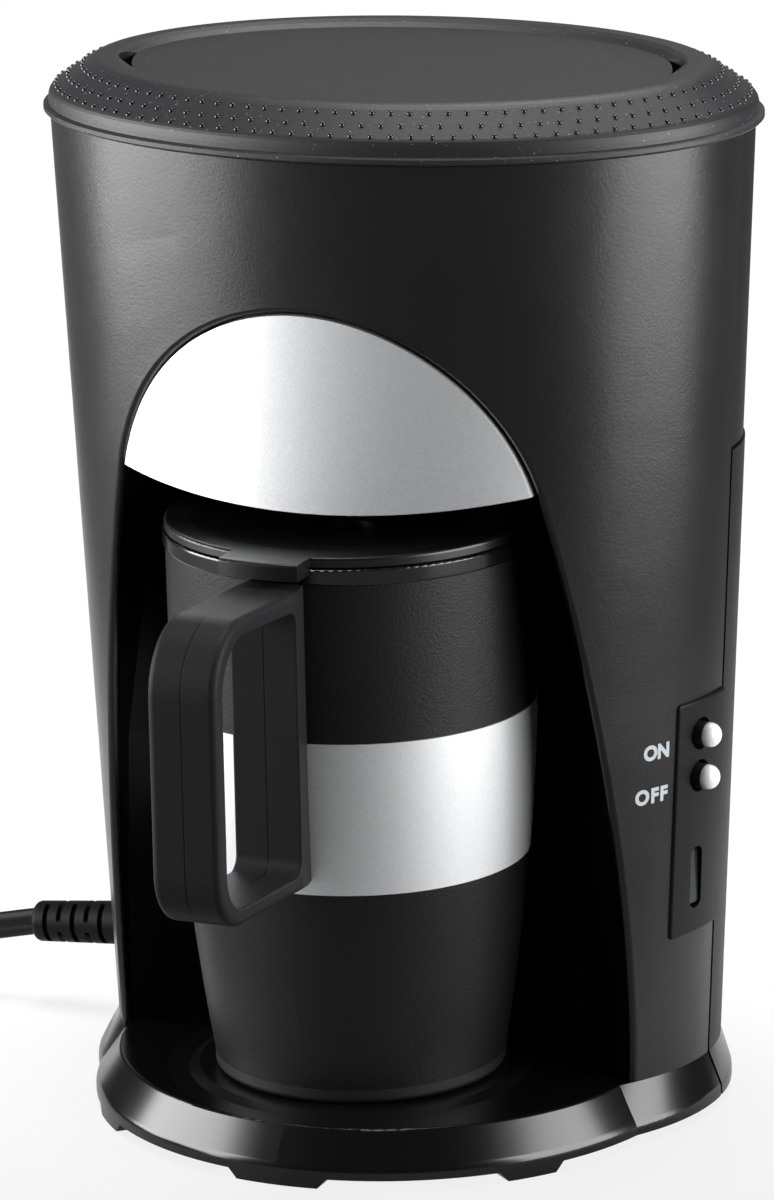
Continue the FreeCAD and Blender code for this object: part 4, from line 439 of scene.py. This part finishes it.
def silver_paint(name, colour, rough, flake_mm, metal=0.9, coat=0.2):
    """Sprayed silver lacquer: metal flakes that each shine a little apart, bright with soft edges.
    The flakes are drawn far coarser than real ones, so that they show."""
    material, tree, out = blank(name)
    place = add(tree, "ShaderNodeTexCoord")
    flake = add(tree, "ShaderNodeTexVoronoi", {
        "Vector": (place, "Object"), "Scale": mm(flake_mm)})
    tone = add(tree, "ShaderNodeSeparateColor", {"Color": (flake, "Color")})
    shade = add(tree, "ShaderNodeMix", {
        "Factor": (tone, "Red"), "A": colour[0], "B": colour[1]}, data_type="RGBA")
    gloss = add(tree, "ShaderNodeMapRange", {
        "Value": (tone, "Green"), "To Min": rough - ROUGH_SPREAD, "To Max": rough + ROUGH_SPREAD})
    skin = add(tree, "ShaderNodeBsdfPrincipled", {
        "Base Color": (shade, "Result"), "Roughness": (gloss, "Result"), "Metallic": metal,
        "Coat Weight": coat, "Coat Roughness": 0.2})
    tree.links.new(skin.outputs[0], out.inputs["Surface"])
    return material


def capped_button(name, colour, barrel_and_painted_shade, rough, edge):
    """A moulded push button: silver lacquer on its dome; below a sharp line, a dark barrel that is
    partly the darker bare plastic and partly painted shade of its shaded side.
    """
    material = silver_paint(name, colour, rough, flake_mm=0.2, metal=0.25)
    tree = material.node_tree
    skin, shade = (first(tree, kind) for kind in ("BSDF_PRINCIPLED", "MIX"))
    place = add(tree, "ShaderNodeTexCoord")
    along = add(tree, "ShaderNodeVectorMath", {
        0: (place, "Object"), 1: BUTTON_AXIS[:]}, operation="DOT_PRODUCT")
    line = add(tree, "ShaderNodeMapRange", {
        "Value": (along, "Value"), "From Min": edge - BUTTON_EDGE, "From Max": edge + BUTTON_EDGE})
    tone = add(tree, "ShaderNodeMix", {
        "Factor": (line, "Result"), "A": barrel_and_painted_shade, "B": (shade, "Result")}, data_type="RGBA")
    tree.links.new(tone.outputs["Result"], skin.inputs["Base Color"])
    return material


def brushed_metal(name, colour, rough, line_mm):
    """Metal brushed or drawn round its axis: fine level lines that stretch the highlights upright.
    The lines are drawn wider than real ones, so that they show."""
    material, tree, out = blank(name)
    place = add(tree, "ShaderNodeTexCoord")
    stretch = add(tree, "ShaderNodeMapping", {
        "Vector": (place, "Object"),
        "Scale": (mm(BRUSH_LENGTH_MM), mm(BRUSH_LENGTH_MM), mm(line_mm))})
    lines = add(tree, "ShaderNodeTexNoise", {
        "Vector": (stretch, "Vector"), "Scale": 1.0, "Detail": 3.0, "Roughness": 0.7})
    shade = add(tree, "ShaderNodeMix", {
        "Factor": (lines, "Fac"), "A": colour[0], "B": colour[1]}, data_type="RGBA")
    gloss = add(tree, "ShaderNodeMapRange", {
        "Value": (lines, "Fac"), "From Min": NOISE_LOW, "From Max": NOISE_HIGH,
        "To Min": rough - BRUSHED_SPREAD, "To Max": rough + BRUSHED_SPREAD})
    skin = add(tree, "ShaderNodeBsdfPrincipled", {
        "Base Color": (shade, "Result"), "Roughness": (gloss, "Result"), "Metallic": 1.0})
    tree.links.new(skin.outputs[0], out.inputs["Surface"])
    return material


def printed_ink(name, colour):
    """Pad-printed ink: a flat pale grey, a little uneven where the pad left less of it."""
    material, tree, out = blank(name)
    place = add(tree, "ShaderNodeTexCoord")
    speck = add(tree, "ShaderNodeTexNoise", {"Vector": (place, "Object"), "Scale": mm(INK_MM)})
    shade = add(tree, "ShaderNodeMix", {
        "Factor": (speck, "Fac"), "A": colour[0], "B": colour[1]}, data_type="RGBA")
    skin = add(tree, "ShaderNodeBsdfPrincipled", {
        "Base Color": (shade, "Result"), "Roughness": 0.5})
    tree.links.new(skin.outputs[0], out.inputs["Surface"])
    return material


# ---------------------------------------------------------------- pieces

def cord_line():
    """Points along the cord's NURBS spline: the route, then the coil's turns at equal angles, then
    the plug's run."""
    settings = bpy.context.scene.coffee_maker.cord
    per_turn = settings.turn_points
    halves = len(COIL_HALF_TURN_RADII) - 1
    turns = np.arange(0, halves * per_turn // 2 + per_turn // 4 + 1) / (per_turn / 2)
    known = np.arange(halves + 1).tolist() + [halves + 0.5]
    radii = np.interp(turns, known, COIL_HALF_TURN_RADII + [COIL_END_RADIUS])
    # control points stand outside the curve that they pull
    radii = radii / math.cos(math.pi / per_turn)
    angle = np.pi * (1 + turns)
    height = COIL_LOW_Z + (COIL_HIGH_Z - COIL_LOW_Z) * np.clip(turns - COIL_CLIMB, 0, 1)
    coil = np.stack([COIL_CENTRE[0] + radii * np.cos(angle),
                     COIL_CENTRE[1] + radii * np.sin(angle), height], -1)
    control = np.concatenate([np.array(CORD_ROUTE), coil, np.array(PLUG_RUN)])
    control[:, 1] += HOUSING_Y
    weighted = np.concatenate([control, np.ones((len(control), 1))], 1)
    curve = bpy.data.curves.new("cord_route", "CURVE")
    curve.dimensions = "3D"
    spline = curve.splines.new("NURBS")
    spline.points.add(len(control) - 1)
    spline.points.foreach_set("co", weighted.ravel())
    spline.order_u = 3
    spline.use_endpoint_u = True
    spline.resolution_u = 6
    route = bpy.data.objects.new("cord_route", curve)
    bpy.context.scene.collection.objects.link(route)
    mesh = bpy.data.meshes.new_from_object(route)
    line = np.empty(len(mesh.vertices) * 3)
    mesh.vertices.foreach_get("co", line)
    bpy.data.objects.remove(route)
    bpy.data.meshes.remove(mesh)
    return line.reshape(-1, 3)


class COFFEE_OT_cord(bpy.types.Operator):
    """Lays the flat two-core cord: a waisted oval carried on edge along the route's spline"""
    bl_idname = "coffee.cord"
    bl_label = "Cord"

    def execute(self, context):
        settings = context.scene.coffee_maker.cord
        line = cord_line()
        along = unit(np.gradient(line, axis=0))
        rise = unit(np.array([0.0, 0.0, 1.0]) - along * along[:, 2:3])
        side = np.cross(along, rise)
        # profile: an oval whose thickness dips by a bell curve at its middle
        turn = np.linspace(0, 2 * np.pi, CORD_SIDES, endpoint=False)
        dip = 1 - settings.waist * np.exp(-(np.sin(turn) / CORD_BELL) ** 2)
        oval = np.sign(np.cos(turn)) * np.abs(np.cos(turn)) ** CORD_POWER
        across = settings.thickness / 2 * oval * dip
        upward = settings.width / 2 * np.sin(turn)
        points = (line[:, None] + side[:, None] * across[None, :, None]
                  + rise[:, None] * upward[None, :, None])
        faces = tube_faces(len(line), len(turn))
        # extruded PVC: dull soft black with a faint broad highlight along each core
        pvc = fine_skin("soft_pvc_extruded", chosen("cord"), rough=0.45, grain_mm=0.5,
                        depth=0.00002, shine=0.15)
        made = piece("cord_lead", points.reshape(-1, 3), faces, "machine", pvc)
        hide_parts("power_cord", "cord_coil")
        # moulded PVC: darker and duller than the cord
        dress(fine_skin("soft_pvc_moulded", shades("#080809", "#0c0c0d"), rough=0.5, grain_mm=0.6,
                        depth=0.00003, shine=0.12), "strain_relief", "plug_body")
        # extruded nylon: a smoother strap with a clear sheen
        dress(fine_skin("nylon_tie_extruded", shades("#101011", "#17171a"), rough=0.3,
                        grain_mm=0.8, depth=0.00002), "cord_tie")
        # nickel plate on brass: a warm pale metal
        dress(brushed_metal("brass_nickel_plated", shades("#b9b2a0", "#d6d0c0"), rough=0.25,
                            line_mm=0.3), "plug_blades")
        return {"FINISHED"}


class COFFEE_OT_lid_nubs(bpy.types.Operator):
    """Sets three staggered rows of small domes on the lid's sloped band"""
    bl_idname = "coffee.lid_nubs"
    bl_label = "Lid nubs"

    def execute(self, context):
        settings = context.scene.coffee_maker.nubs
        rings, sides = len(NUB_LIFTS), NUB_SIDES
        # one dome: each ring's radius goes by the cosine and its height by the sine of its angle
        turn = np.linspace(0, 2 * np.pi, sides, endpoint=False)
        circle = np.stack([np.cos(turn), np.sin(turn)], 0)[:, None]
        flat = settings.radius * np.cos(NUB_LIFTS)[:, None] * circle
        lift = settings.height * np.sin(NUB_LIFTS)[None, :, None]
        dome = np.concatenate([flat, np.broadcast_to(lift, (1, rings, sides))]).reshape(3, -1).T
        dome = np.concatenate([dome, [[0, 0, settings.height]]])
        quads = tube_faces(rings, sides)
        corner = np.arange(sides)
        top, crown = (rings - 1) * sides, np.full(sides, rings * sides)
        caps = np.stack([top + corner, top + (corner + 1) % sides, crown, crown], -1)
        # each row follows the band's oval at its share of the slope, at equal steps of length
        inward = LID_BAND_HIGH_HALF - LID_BAND_LOW_HALF
        climb = LID_BAND_HIGH_Z - LID_BAND_LOW_Z
        places, normals, ways = [], [], []
        for share, shift in NUB_ROWS:
            half = LID_BAND_LOW_HALF + share * inward
            angle = oval_angles(half, settings.per_row, shift)
            cos, sin = np.cos(angle), np.sin(angle)
            level = np.full_like(angle, LID_BAND_LOW_Z + share * climb)
            places.append(np.stack([half[0] * cos, half[1] * sin, level], -1))
            ways.append(unit(np.stack([-half[0] * sin, half[1] * cos, np.zeros_like(angle)], -1)))
            up_way = np.stack([inward[0] * cos, inward[1] * sin, np.full_like(angle, climb)], -1)
            normals.append(unit(np.cross(ways[-1], up_way)))
        spot, out_way, round_way = (np.concatenate(v) for v in (places, normals, ways))
        slope = np.cross(out_way, round_way)
        points = (spot[:, None] + round_way[:, None] * dome[None, :, :1]
                  + slope[:, None] * dome[None, :, 1:2] + out_way[:, None] * dome[None, :, 2:])
        points[..., 1] += HOUSING_Y
        start = (np.arange(len(spot)) * len(dome))[:, None, None]
        faces = np.concatenate([(quads[None] + start).reshape(-1, 4),
                                (caps[None] + start).reshape(-1, 4)])
        # polished ABS: each dome holds one small bright point
        gloss = fine_skin("abs_polished_nubs", shades("#050506", "#080809"), rough=0.16,
                          grain_mm=0.5, depth=0.000002, shine=0.6)
        made = piece("lid_nubs", points.reshape(-1, 3), faces, "lid", gloss)
        return {"FINISHED"}


class COFFEE_OT_switch_words(bpy.types.Operator):
    """Prints the two switch words on the housing, bent round its oval beside the buttons"""
    bl_idname = "coffee.switch_words"
    bl_label = "Switch words"

    def execute(self, context):
        settings = context.scene.coffee_maker.letters
        ink = printed_ink("pad_print_pale_grey", chosen("word"))
        words = (("ON", settings.on_height, ON_SPACING), ("OFF", settings.off_height, OFF_SPACING))
        for word, height, spacing in words:
            mesh = self.flat_word(context, word, spacing)
            flat = np.empty(len(mesh.vertices) * 3)
            mesh.vertices.foreach_get("co", flat)
            flat = flat.reshape(-1, 3)
            low, high = flat[:, 1].min(), flat[:, 1].max()
            scale = settings.cap_height / (high - low)
            across = (flat[:, 0] - flat[:, 0].max()) * scale
            z = height + (flat[:, 1] - (high + low) / 2) * scale
            share = ((z - HOUSING_LOW_Z) / (HOUSING_HIGH_Z - HOUSING_LOW_Z))[:, None]
            half = HOUSING_LOW_HALF + share * (HOUSING_HIGH_HALF - HOUSING_LOW_HALF) + INK_LIFT
            # walk round the oval: angles against arc length from the words' right edge
            fine = np.linspace(-np.pi / 2, 0, QUARTER_SAMPLES)
            line, length = oval_walk(half.mean(0), fine)
            start = np.interp(settings.right_edge, line[:, 1], length)
            angle = np.interp(start + across, length, fine)
            spot = np.stack([half[:, 0] * np.cos(angle),
                             half[:, 1] * np.sin(angle) + HOUSING_Y, z], -1)
            mesh.vertices.foreach_set("co", spot.ravel())
            mesh.name = "switch_word_" + word.lower()
            mesh.materials.clear()
            mesh.materials.append(ink)
            made = bpy.data.objects.new(mesh.name, mesh)
            context.scene.collection.objects.link(made)
            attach(made, "machine")
        return {"FINISHED"}

    def flat_word(self, context, word, spacing):
        """The word as a flat mesh of the default typeface."""
        curve = bpy.data.curves.new("word", "FONT")
        curve.body = word
        curve.size = 1.0
        curve.offset = WORD_WEIGHT
        curve.space_character = spacing
        curve.align_x = "RIGHT"
        curve.resolution_u = 5
        text = bpy.data.objects.new("word", curve)
        context.scene.collection.objects.link(text)
        context.view_layer.update()
        mesh = bpy.data.meshes.new_from_object(text)
        bpy.data.objects.remove(text)
        return mesh


class COFFEE_OT_housing(bpy.types.Operator):
    """Finishes the housing: shell, lid, rear covers, panel, base and switch strip"""
    bl_idname = "coffee.housing"
    bl_label = "Housing"

    def execute(self, context):
        # satin black: the lamps blur into broad upright streaks
        dress(fine_skin("abs_spark_eroded_satin", chosen("shell"), rough=0.32, grain_mm=0.7,
                        depth=0.00006), "front_shell")
        # rougher and greyer than the shell, with sparse pale specks in its grain
        dress(fine_skin("abs_spark_eroded_lid", chosen("lid"), rough=0.48, grain_mm=0.45,
                        depth=0.00006, speck=linear("#8c8c92")), "lid")
        # plain moulded black, duller than the front
        dress(fine_skin("abs_moulded_satin", shades("#101011", "#151517"), rough=0.5,
                        grain_mm=0.6, depth=0.00001, shine=0.22),
              "rear_upper_cover", "rear_lower_cover")
        # a strip that reflects less than the shell round it
        dress(fine_skin("abs_moulded_strip", shades("#0b0b0c", "#101011"), rough=0.42,
                        grain_mm=0.6, depth=0.00001, shine=0.2), "switch_panel")
        # near black and dull, so that the bay and the underside stay in shade
        dress(fine_skin("abs_moulded_dark", shades("#070708", "#0b0b0c"), rough=0.5, grain_mm=0.5,
                        depth=0.00002, shine=0.15), "bay_liner", "bottom_plate")
        # polished black that mirrors the mug's foot
        dress(tray_plastic("abs_polished_gloss", shades("#060607", "#0a0a0b"), rough=0.2,
                           matt=0.28, centre=(0.0, MUG_Y, 0.0), radius=TRAY_MATT_RADIUS),
              "base_tray", "base_rear")
        # bright satin silver with a soft fall from light to dark
        dress(silver_paint("silver_lacquer_satin", chosen("panel"), rough=0.53, flake_mm=0.22),
              "front_panel")
        # zinc plate: a dull bluish metal
        dress(brushed_metal("steel_zinc_plated", shades("#8e9096", "#aeb0b4"), rough=0.3,
                            line_mm=0.2), "bottom_screws")
        return {"FINISHED"}


class COFFEE_OT_mug(bpy.types.Operator):
    """Finishes the mug: textured coat, lacquered band, steel liner, collar, handle and lid"""
    bl_idname = "coffee.mug"
    bl_label = "Mug"

    def execute(self, context):
        # powder coat: a pebbled black skin that scatters the light
        dress(fine_skin("powder_coat_fine_texture", chosen("mug"), rough=0.44, grain_mm=0.6,
                        depth=0.00016, shine=0.3), "mug_shell")
        # silver lacquer with no clear coat: pale grey with soft edges to its light
        dress(silver_paint("silver_lacquer_band", chosen("band"), rough=0.52, flake_mm=0.2,
                           metal=0.85, coat=0.0), "mug_band")
        # drawn steel: a bright cup with fine level lines
        dress(brushed_metal("stainless_steel_drawn", shades("#a9abae", "#c2c4c6"), rough=0.3,
                            line_mm=0.2), "mug_liner")
        # glossy black: narrow streaks of light
        dress(fine_skin("polypropylene_gloss", shades("#08080a", "#0c0c0d"), rough=0.17,
                        grain_mm=1.5, depth=0.000003, shine=0.8), "mug_collar")
        # dull charcoal with a parting line round the loop
        dress(seamed_plastic("polypropylene_satin", chosen("handle"), rough=0.5, grain_mm=0.5,
                             depth=0.00002, shine=0.1), "mug_handle")
        # matt black foot
        dress(fine_skin("polypropylene_matt", shades("#0b0b0c", "#101011"), rough=0.55,
                        grain_mm=0.5, depth=0.00002, shine=0.3), "mug_base")
        # smoother black, so that the lid's edges catch the light
        dress(fine_skin("polypropylene_semi_gloss", shades("#09090a", "#0d0d0e"), rough=0.3,
                        grain_mm=0.8, depth=0.00001), "mug_lid")
        # milky rubber
        dress(fine_skin("silicone_rubber_clear", shades("#b8b6ae", "#c6c4bd"), rough=0.5,
                        grain_mm=1.0, depth=0.00001), "mug_lid_seal")
        return {"FINISHED"}


class COFFEE_OT_switches(bpy.types.Operator):
    """Finishes the two push buttons, their switch and the indicator"""
    bl_idname = "coffee.switches"
    bl_label = "Switches"

    def execute(self, context):
        # pale domes on dark barrels: the barrels' dark is partly their plastic and partly painted
        # shade of their shaded sides
        for name in ("on_button", "off_button"):
            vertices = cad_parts[name].data.vertices
            top = max(vertex.co.dot(BUTTON_AXIS) for vertex in vertices)
            dress(capped_button("silver_lacquer_" + name, chosen("button"), linear("#26262a"),
                                rough=0.34, edge=top - BUTTON_CAP), name)
        # phenolic: a dull dark brown
        dress(fine_skin("phenolic_moulded", shades("#26221e", "#2e2a25"), rough=0.5, grain_mm=0.8,
                        depth=0.00003), "switch_module")
        # smoked acrylic, unlit: smooth and nearly black
        dress(fine_skin("acrylic_smoked", shades("#16181b", "#1e2125"), rough=0.2, grain_mm=1.0,
                        depth=0.000003), "indicator_lens")
        # lamp glass over its dark inside: a smooth warm grey
        dress(fine_skin("glass_lamp", shades("#8a7a6a", "#a09080"), rough=0.1, grain_mm=2.0,
                        depth=0.000003), "indicator_lamp")
        return {"FINISHED"}


class COFFEE_OT_inside(bpy.types.Operator):
    """Finishes what the lid and the bottom hide: tank, basket, water path and heater"""
    bl_idname = "coffee.inside"
    bl_label = "Inside"

    def execute(self, context):
        # moulded polypropylene: a waxy dark grey
        dress(fine_skin("polypropylene_tank", shades("#232326", "#2b2b2f"), rough=0.4,
                        grain_mm=0.6, depth=0.00002),
              "water_tank", "shower_plate", "riser_pipe", "check_valve", "cord_clamp")
        # the same, a shade darker
        dress(fine_skin("polypropylene_basket", shades("#19191b", "#202022"), rough=0.42,
                        grain_mm=0.6, depth=0.00002), "drip_basket")
        # milky rubber
        dress(fine_skin("silicone_rubber_hose", shades("#c2c0b8", "#d0cec6"), rough=0.5,
                        grain_mm=0.8, depth=0.00002), "inlet_hose", "outlet_hose")
        # drawn aluminium: a soft grey metal
        dress(brushed_metal("aluminium_drawn", shades("#a4a6a8", "#bcbec0"), rough=0.35,
                            line_mm=0.4), "heater", "thermostat")
        # zinc on sheet steel: a shade darker, with finer lines
        dress(brushed_metal("steel_sheet_zinc", shades("#9a9ca0", "#b2b4b8"), rough=0.35,
                            line_mm=0.3), "heater_bracket")
        # polished ball: nearly a mirror
        dress(brushed_metal("stainless_steel_ball", shades("#b4b6b8", "#c8cacc"), rough=0.12,
                            line_mm=0.4), "valve_ball")
        # glass fibre: a chalky cream
        dress(fine_skin("glass_fibre_sleeve", shades("#cfcabb", "#dedacd"), rough=0.7,
                        grain_mm=0.6, depth=0.0001), "thermal_fuse")
        return {"FINISHED"}


# ---------------------------------------------------------------- stage

class COFFEE_OT_stage(bpy.types.Operator):
    """Sets the camera, a plain pale floor, softboxes and a light for the floor alone"""
    bl_idname = "coffee.stage"
    bl_label = "Stage"

    def execute(self, context):
        scene = context.scene
        settings = scene.coffee_maker.stage
        scene.view_settings.view_transform = "Standard"
        self.camera(scene, settings)
        floor = self.floor(scene)
        on_floor = self.receivers("lights_floor_only", floor, "INCLUDE")
        off_floor = self.receivers("lights_all_but_floor", floor, "EXCLUDE")
        middle = (0.0, HOUSING_Y, AIM_Z)
        for name, power, place, size in SOFTBOXES:
            self.softbox(scene, name, place, middle, size, getattr(settings, power), off_floor)
        away = Vector((-math.sin(settings.azimuth), math.cos(settings.azimuth), 0))
        spot = away * FLOOR_LIGHT_BEHIND + Vector((0, HOUSING_Y, 0))
        lamp = self.softbox(scene, "floor_light", spot + Vector((0, 0, FLOOR_LIGHT_Z)), spot,
                            FLOOR_LIGHT_SIZE, settings.floor_light, on_floor)
        # its long side lies along the view
        lamp.rotation_mode = "XYZ"
        lamp.rotation_euler = (0, 0, settings.azimuth)
        lamp.data.spread = FLOOR_LIGHT_SPREAD
        self.world(scene)
        return {"FINISHED"}

    def camera(self, scene, settings):
        """Stands round from the front: turned by swing, tipped by pitch, leant by roll."""
        data = bpy.data.cameras.new("photo_camera")
        data.sensor_fit = "AUTO"
        data.sensor_width = SENSOR_MM
        data.lens = settings.lens
        camera = bpy.data.objects.new("photo_camera", data)
        scene.collection.objects.link(camera)
        aim = settings.azimuth + settings.swing
        right = Vector((math.cos(aim), math.sin(aim), 0))
        level = Vector((-math.sin(aim), math.cos(aim), 0))
        forward = level * math.cos(settings.pitch) - Vector((0, 0, math.sin(settings.pitch)))
        upward = level * math.sin(settings.pitch) + Vector((0, 0, math.cos(settings.pitch)))
        lean_right = right * math.cos(settings.roll) - upward * math.sin(settings.roll)
        lean_up = right * math.sin(settings.roll) + upward * math.cos(settings.roll)
        place = Vector((settings.distance * math.sin(settings.azimuth),
                        HOUSING_Y - settings.distance * math.cos(settings.azimuth),
                        settings.height))
        turn = Matrix((lean_right, lean_up, -forward)).transposed().to_4x4()
        camera.matrix_world = Matrix.Translation(place) @ turn
        scene.camera = camera

    def floor(self, scene):
        """White paper to the eye and, far weaker, in gloss; the rest of its tone is lit and keeps
        the shadow."""
        material, tree, out = blank("floor_pale")
        place = add(tree, "ShaderNodeTexCoord")
        cloud = add(tree, "ShaderNodeTexNoise", {
            "Vector": (place, "Object"), "Scale": mm(FLOOR_CLOUD_MM)})
        shade = add(tree, "ShaderNodeMix", {
            "Factor": (cloud, "Fac"), "A": linear("#f0f0f0"), "B": linear("#f4f4f4")},
            data_type="RGBA")
        paper = add(tree, "ShaderNodeBsdfDiffuse", {"Color": (shade, "Result")})
        glow = add(tree, "ShaderNodeEmission", {"Color": linear("#ffffff"), "Strength": 1.0})
        ray = add(tree, "ShaderNodeLightPath")
        seen = add(tree, "ShaderNodeMath", {
            0: (ray, "Is Camera Ray"), 1: (ray, "Is Transmission Ray")}, operation="ADD")
        bare = add(tree, "ShaderNodeMath", {
            0: (seen, "Value"), 1: FLOOR_SEEN_WHITE}, operation="MULTIPLY")
        share = add(tree, "ShaderNodeMath", {
            0: (ray, "Is Glossy Ray"), 1: FLOOR_GLOSS_WHITE, 2: (bare, "Value")},
            operation="MULTIPLY_ADD")
        skin = add(tree, "ShaderNodeMixShader", {
            "Fac": (share, "Value"), 1: (paper, 0), 2: (glow, 0)})
        tree.links.new(skin.outputs[0], out.inputs["Surface"])
        mesh = bpy.data.meshes.new("floor")
        reach = FLOOR_REACH
        corners = [(-reach, -reach, 0), (reach, -reach, 0), (reach, reach, 0), (-reach, reach, 0)]
        mesh.from_pydata(corners, [], [(0, 1, 2, 3)])
        mesh.materials.append(material)
        floor = bpy.data.objects.new("floor", mesh)
        scene.collection.objects.link(floor)
        return floor

    def receivers(self, name, floor, state):
        """A light linking group of the floor alone, to light only it or to pass it over."""
        group = bpy.data.collections.new(name)
        group.objects.link(floor)
        group.collection_objects[0].light_linking.link_state = state
        return group

    def softbox(self, scene, name, place, aim, size, power, receivers):
        """A rectangular area light, unseen by the camera, turned from its place to its aim."""
        light = bpy.data.lights.new(name, "AREA")
        light.shape = "RECTANGLE"
        light.size, light.size_y = size
        light.energy = power
        lamp = bpy.data.objects.new(name, light)
        lamp.location = place
        lamp.rotation_mode = "QUATERNION"
        lamp.rotation_quaternion = (Vector(aim) - Vector(place)).to_track_quat("-Z", "Y")
        lamp.visible_camera = False
        lamp.light_linking.receiver_collection = receivers
        scene.collection.objects.link(lamp)
        return lamp

    def world(self, scene):
        """A faint even light from all round."""
        world = bpy.data.worlds.new("studio")
        world.use_nodes = True
        tree = world.node_tree
        tree.nodes.clear()
        out = tree.nodes.new("ShaderNodeOutputWorld")
        sky = add(tree, "ShaderNodeBackground", {"Color": WORLD_COLOUR, "Strength": WORLD_STRENGTH})
        tree.links.new(sky.outputs[0], out.inputs["Surface"])
        scene.world = world


# ---------------------------------------------------------------- add-on

OPERATORS = (COFFEE_OT_stage, COFFEE_OT_cord, COFFEE_OT_housing, COFFEE_OT_lid_nubs,
             COFFEE_OT_switch_words, COFFEE_OT_mug, COFFEE_OT_switches, COFFEE_OT_inside)


class COFFEE_PT_panel(bpy.types.Panel):
    """Lists the operators and their settings in the sidebar"""
    bl_label = "Coffee maker"
    bl_idname = "COFFEE_PT_panel"
    bl_space_type = "VIEW_3D"
    bl_region_type = "UI"
    bl_category = "Coffee maker"

    def draw(self, context):
        for kind in OPERATORS:
            self.layout.operator(kind.bl_idname)
        for group in CoffeeMakerSettings.__annotations__:
            box = self.layout.box()
            settings = getattr(context.scene.coffee_maker, group)
            for name in settings.__annotations__:
                box.prop(settings, name)


CLASSES = (CordSettings, NubSettings, LetterSettings, ColourSettings, StageSettings,
           CoffeeMakerSettings, *OPERATORS, COFFEE_PT_panel)


def register():
    for kind in CLASSES:
        bpy.utils.register_class(kind)
    bpy.types.Scene.coffee_maker = PointerProperty(type=CoffeeMakerSettings)


def unregister():
    del bpy.types.Scene.coffee_maker
    for kind in reversed(CLASSES):
        bpy.utils.unregister_class(kind)


def main():
    register()
    for kind in OPERATORS:
        group, name = kind.bl_idname.split(".")
        getattr(getattr(bpy.ops, group), name)()


if __name__ == "__main__":
    main()
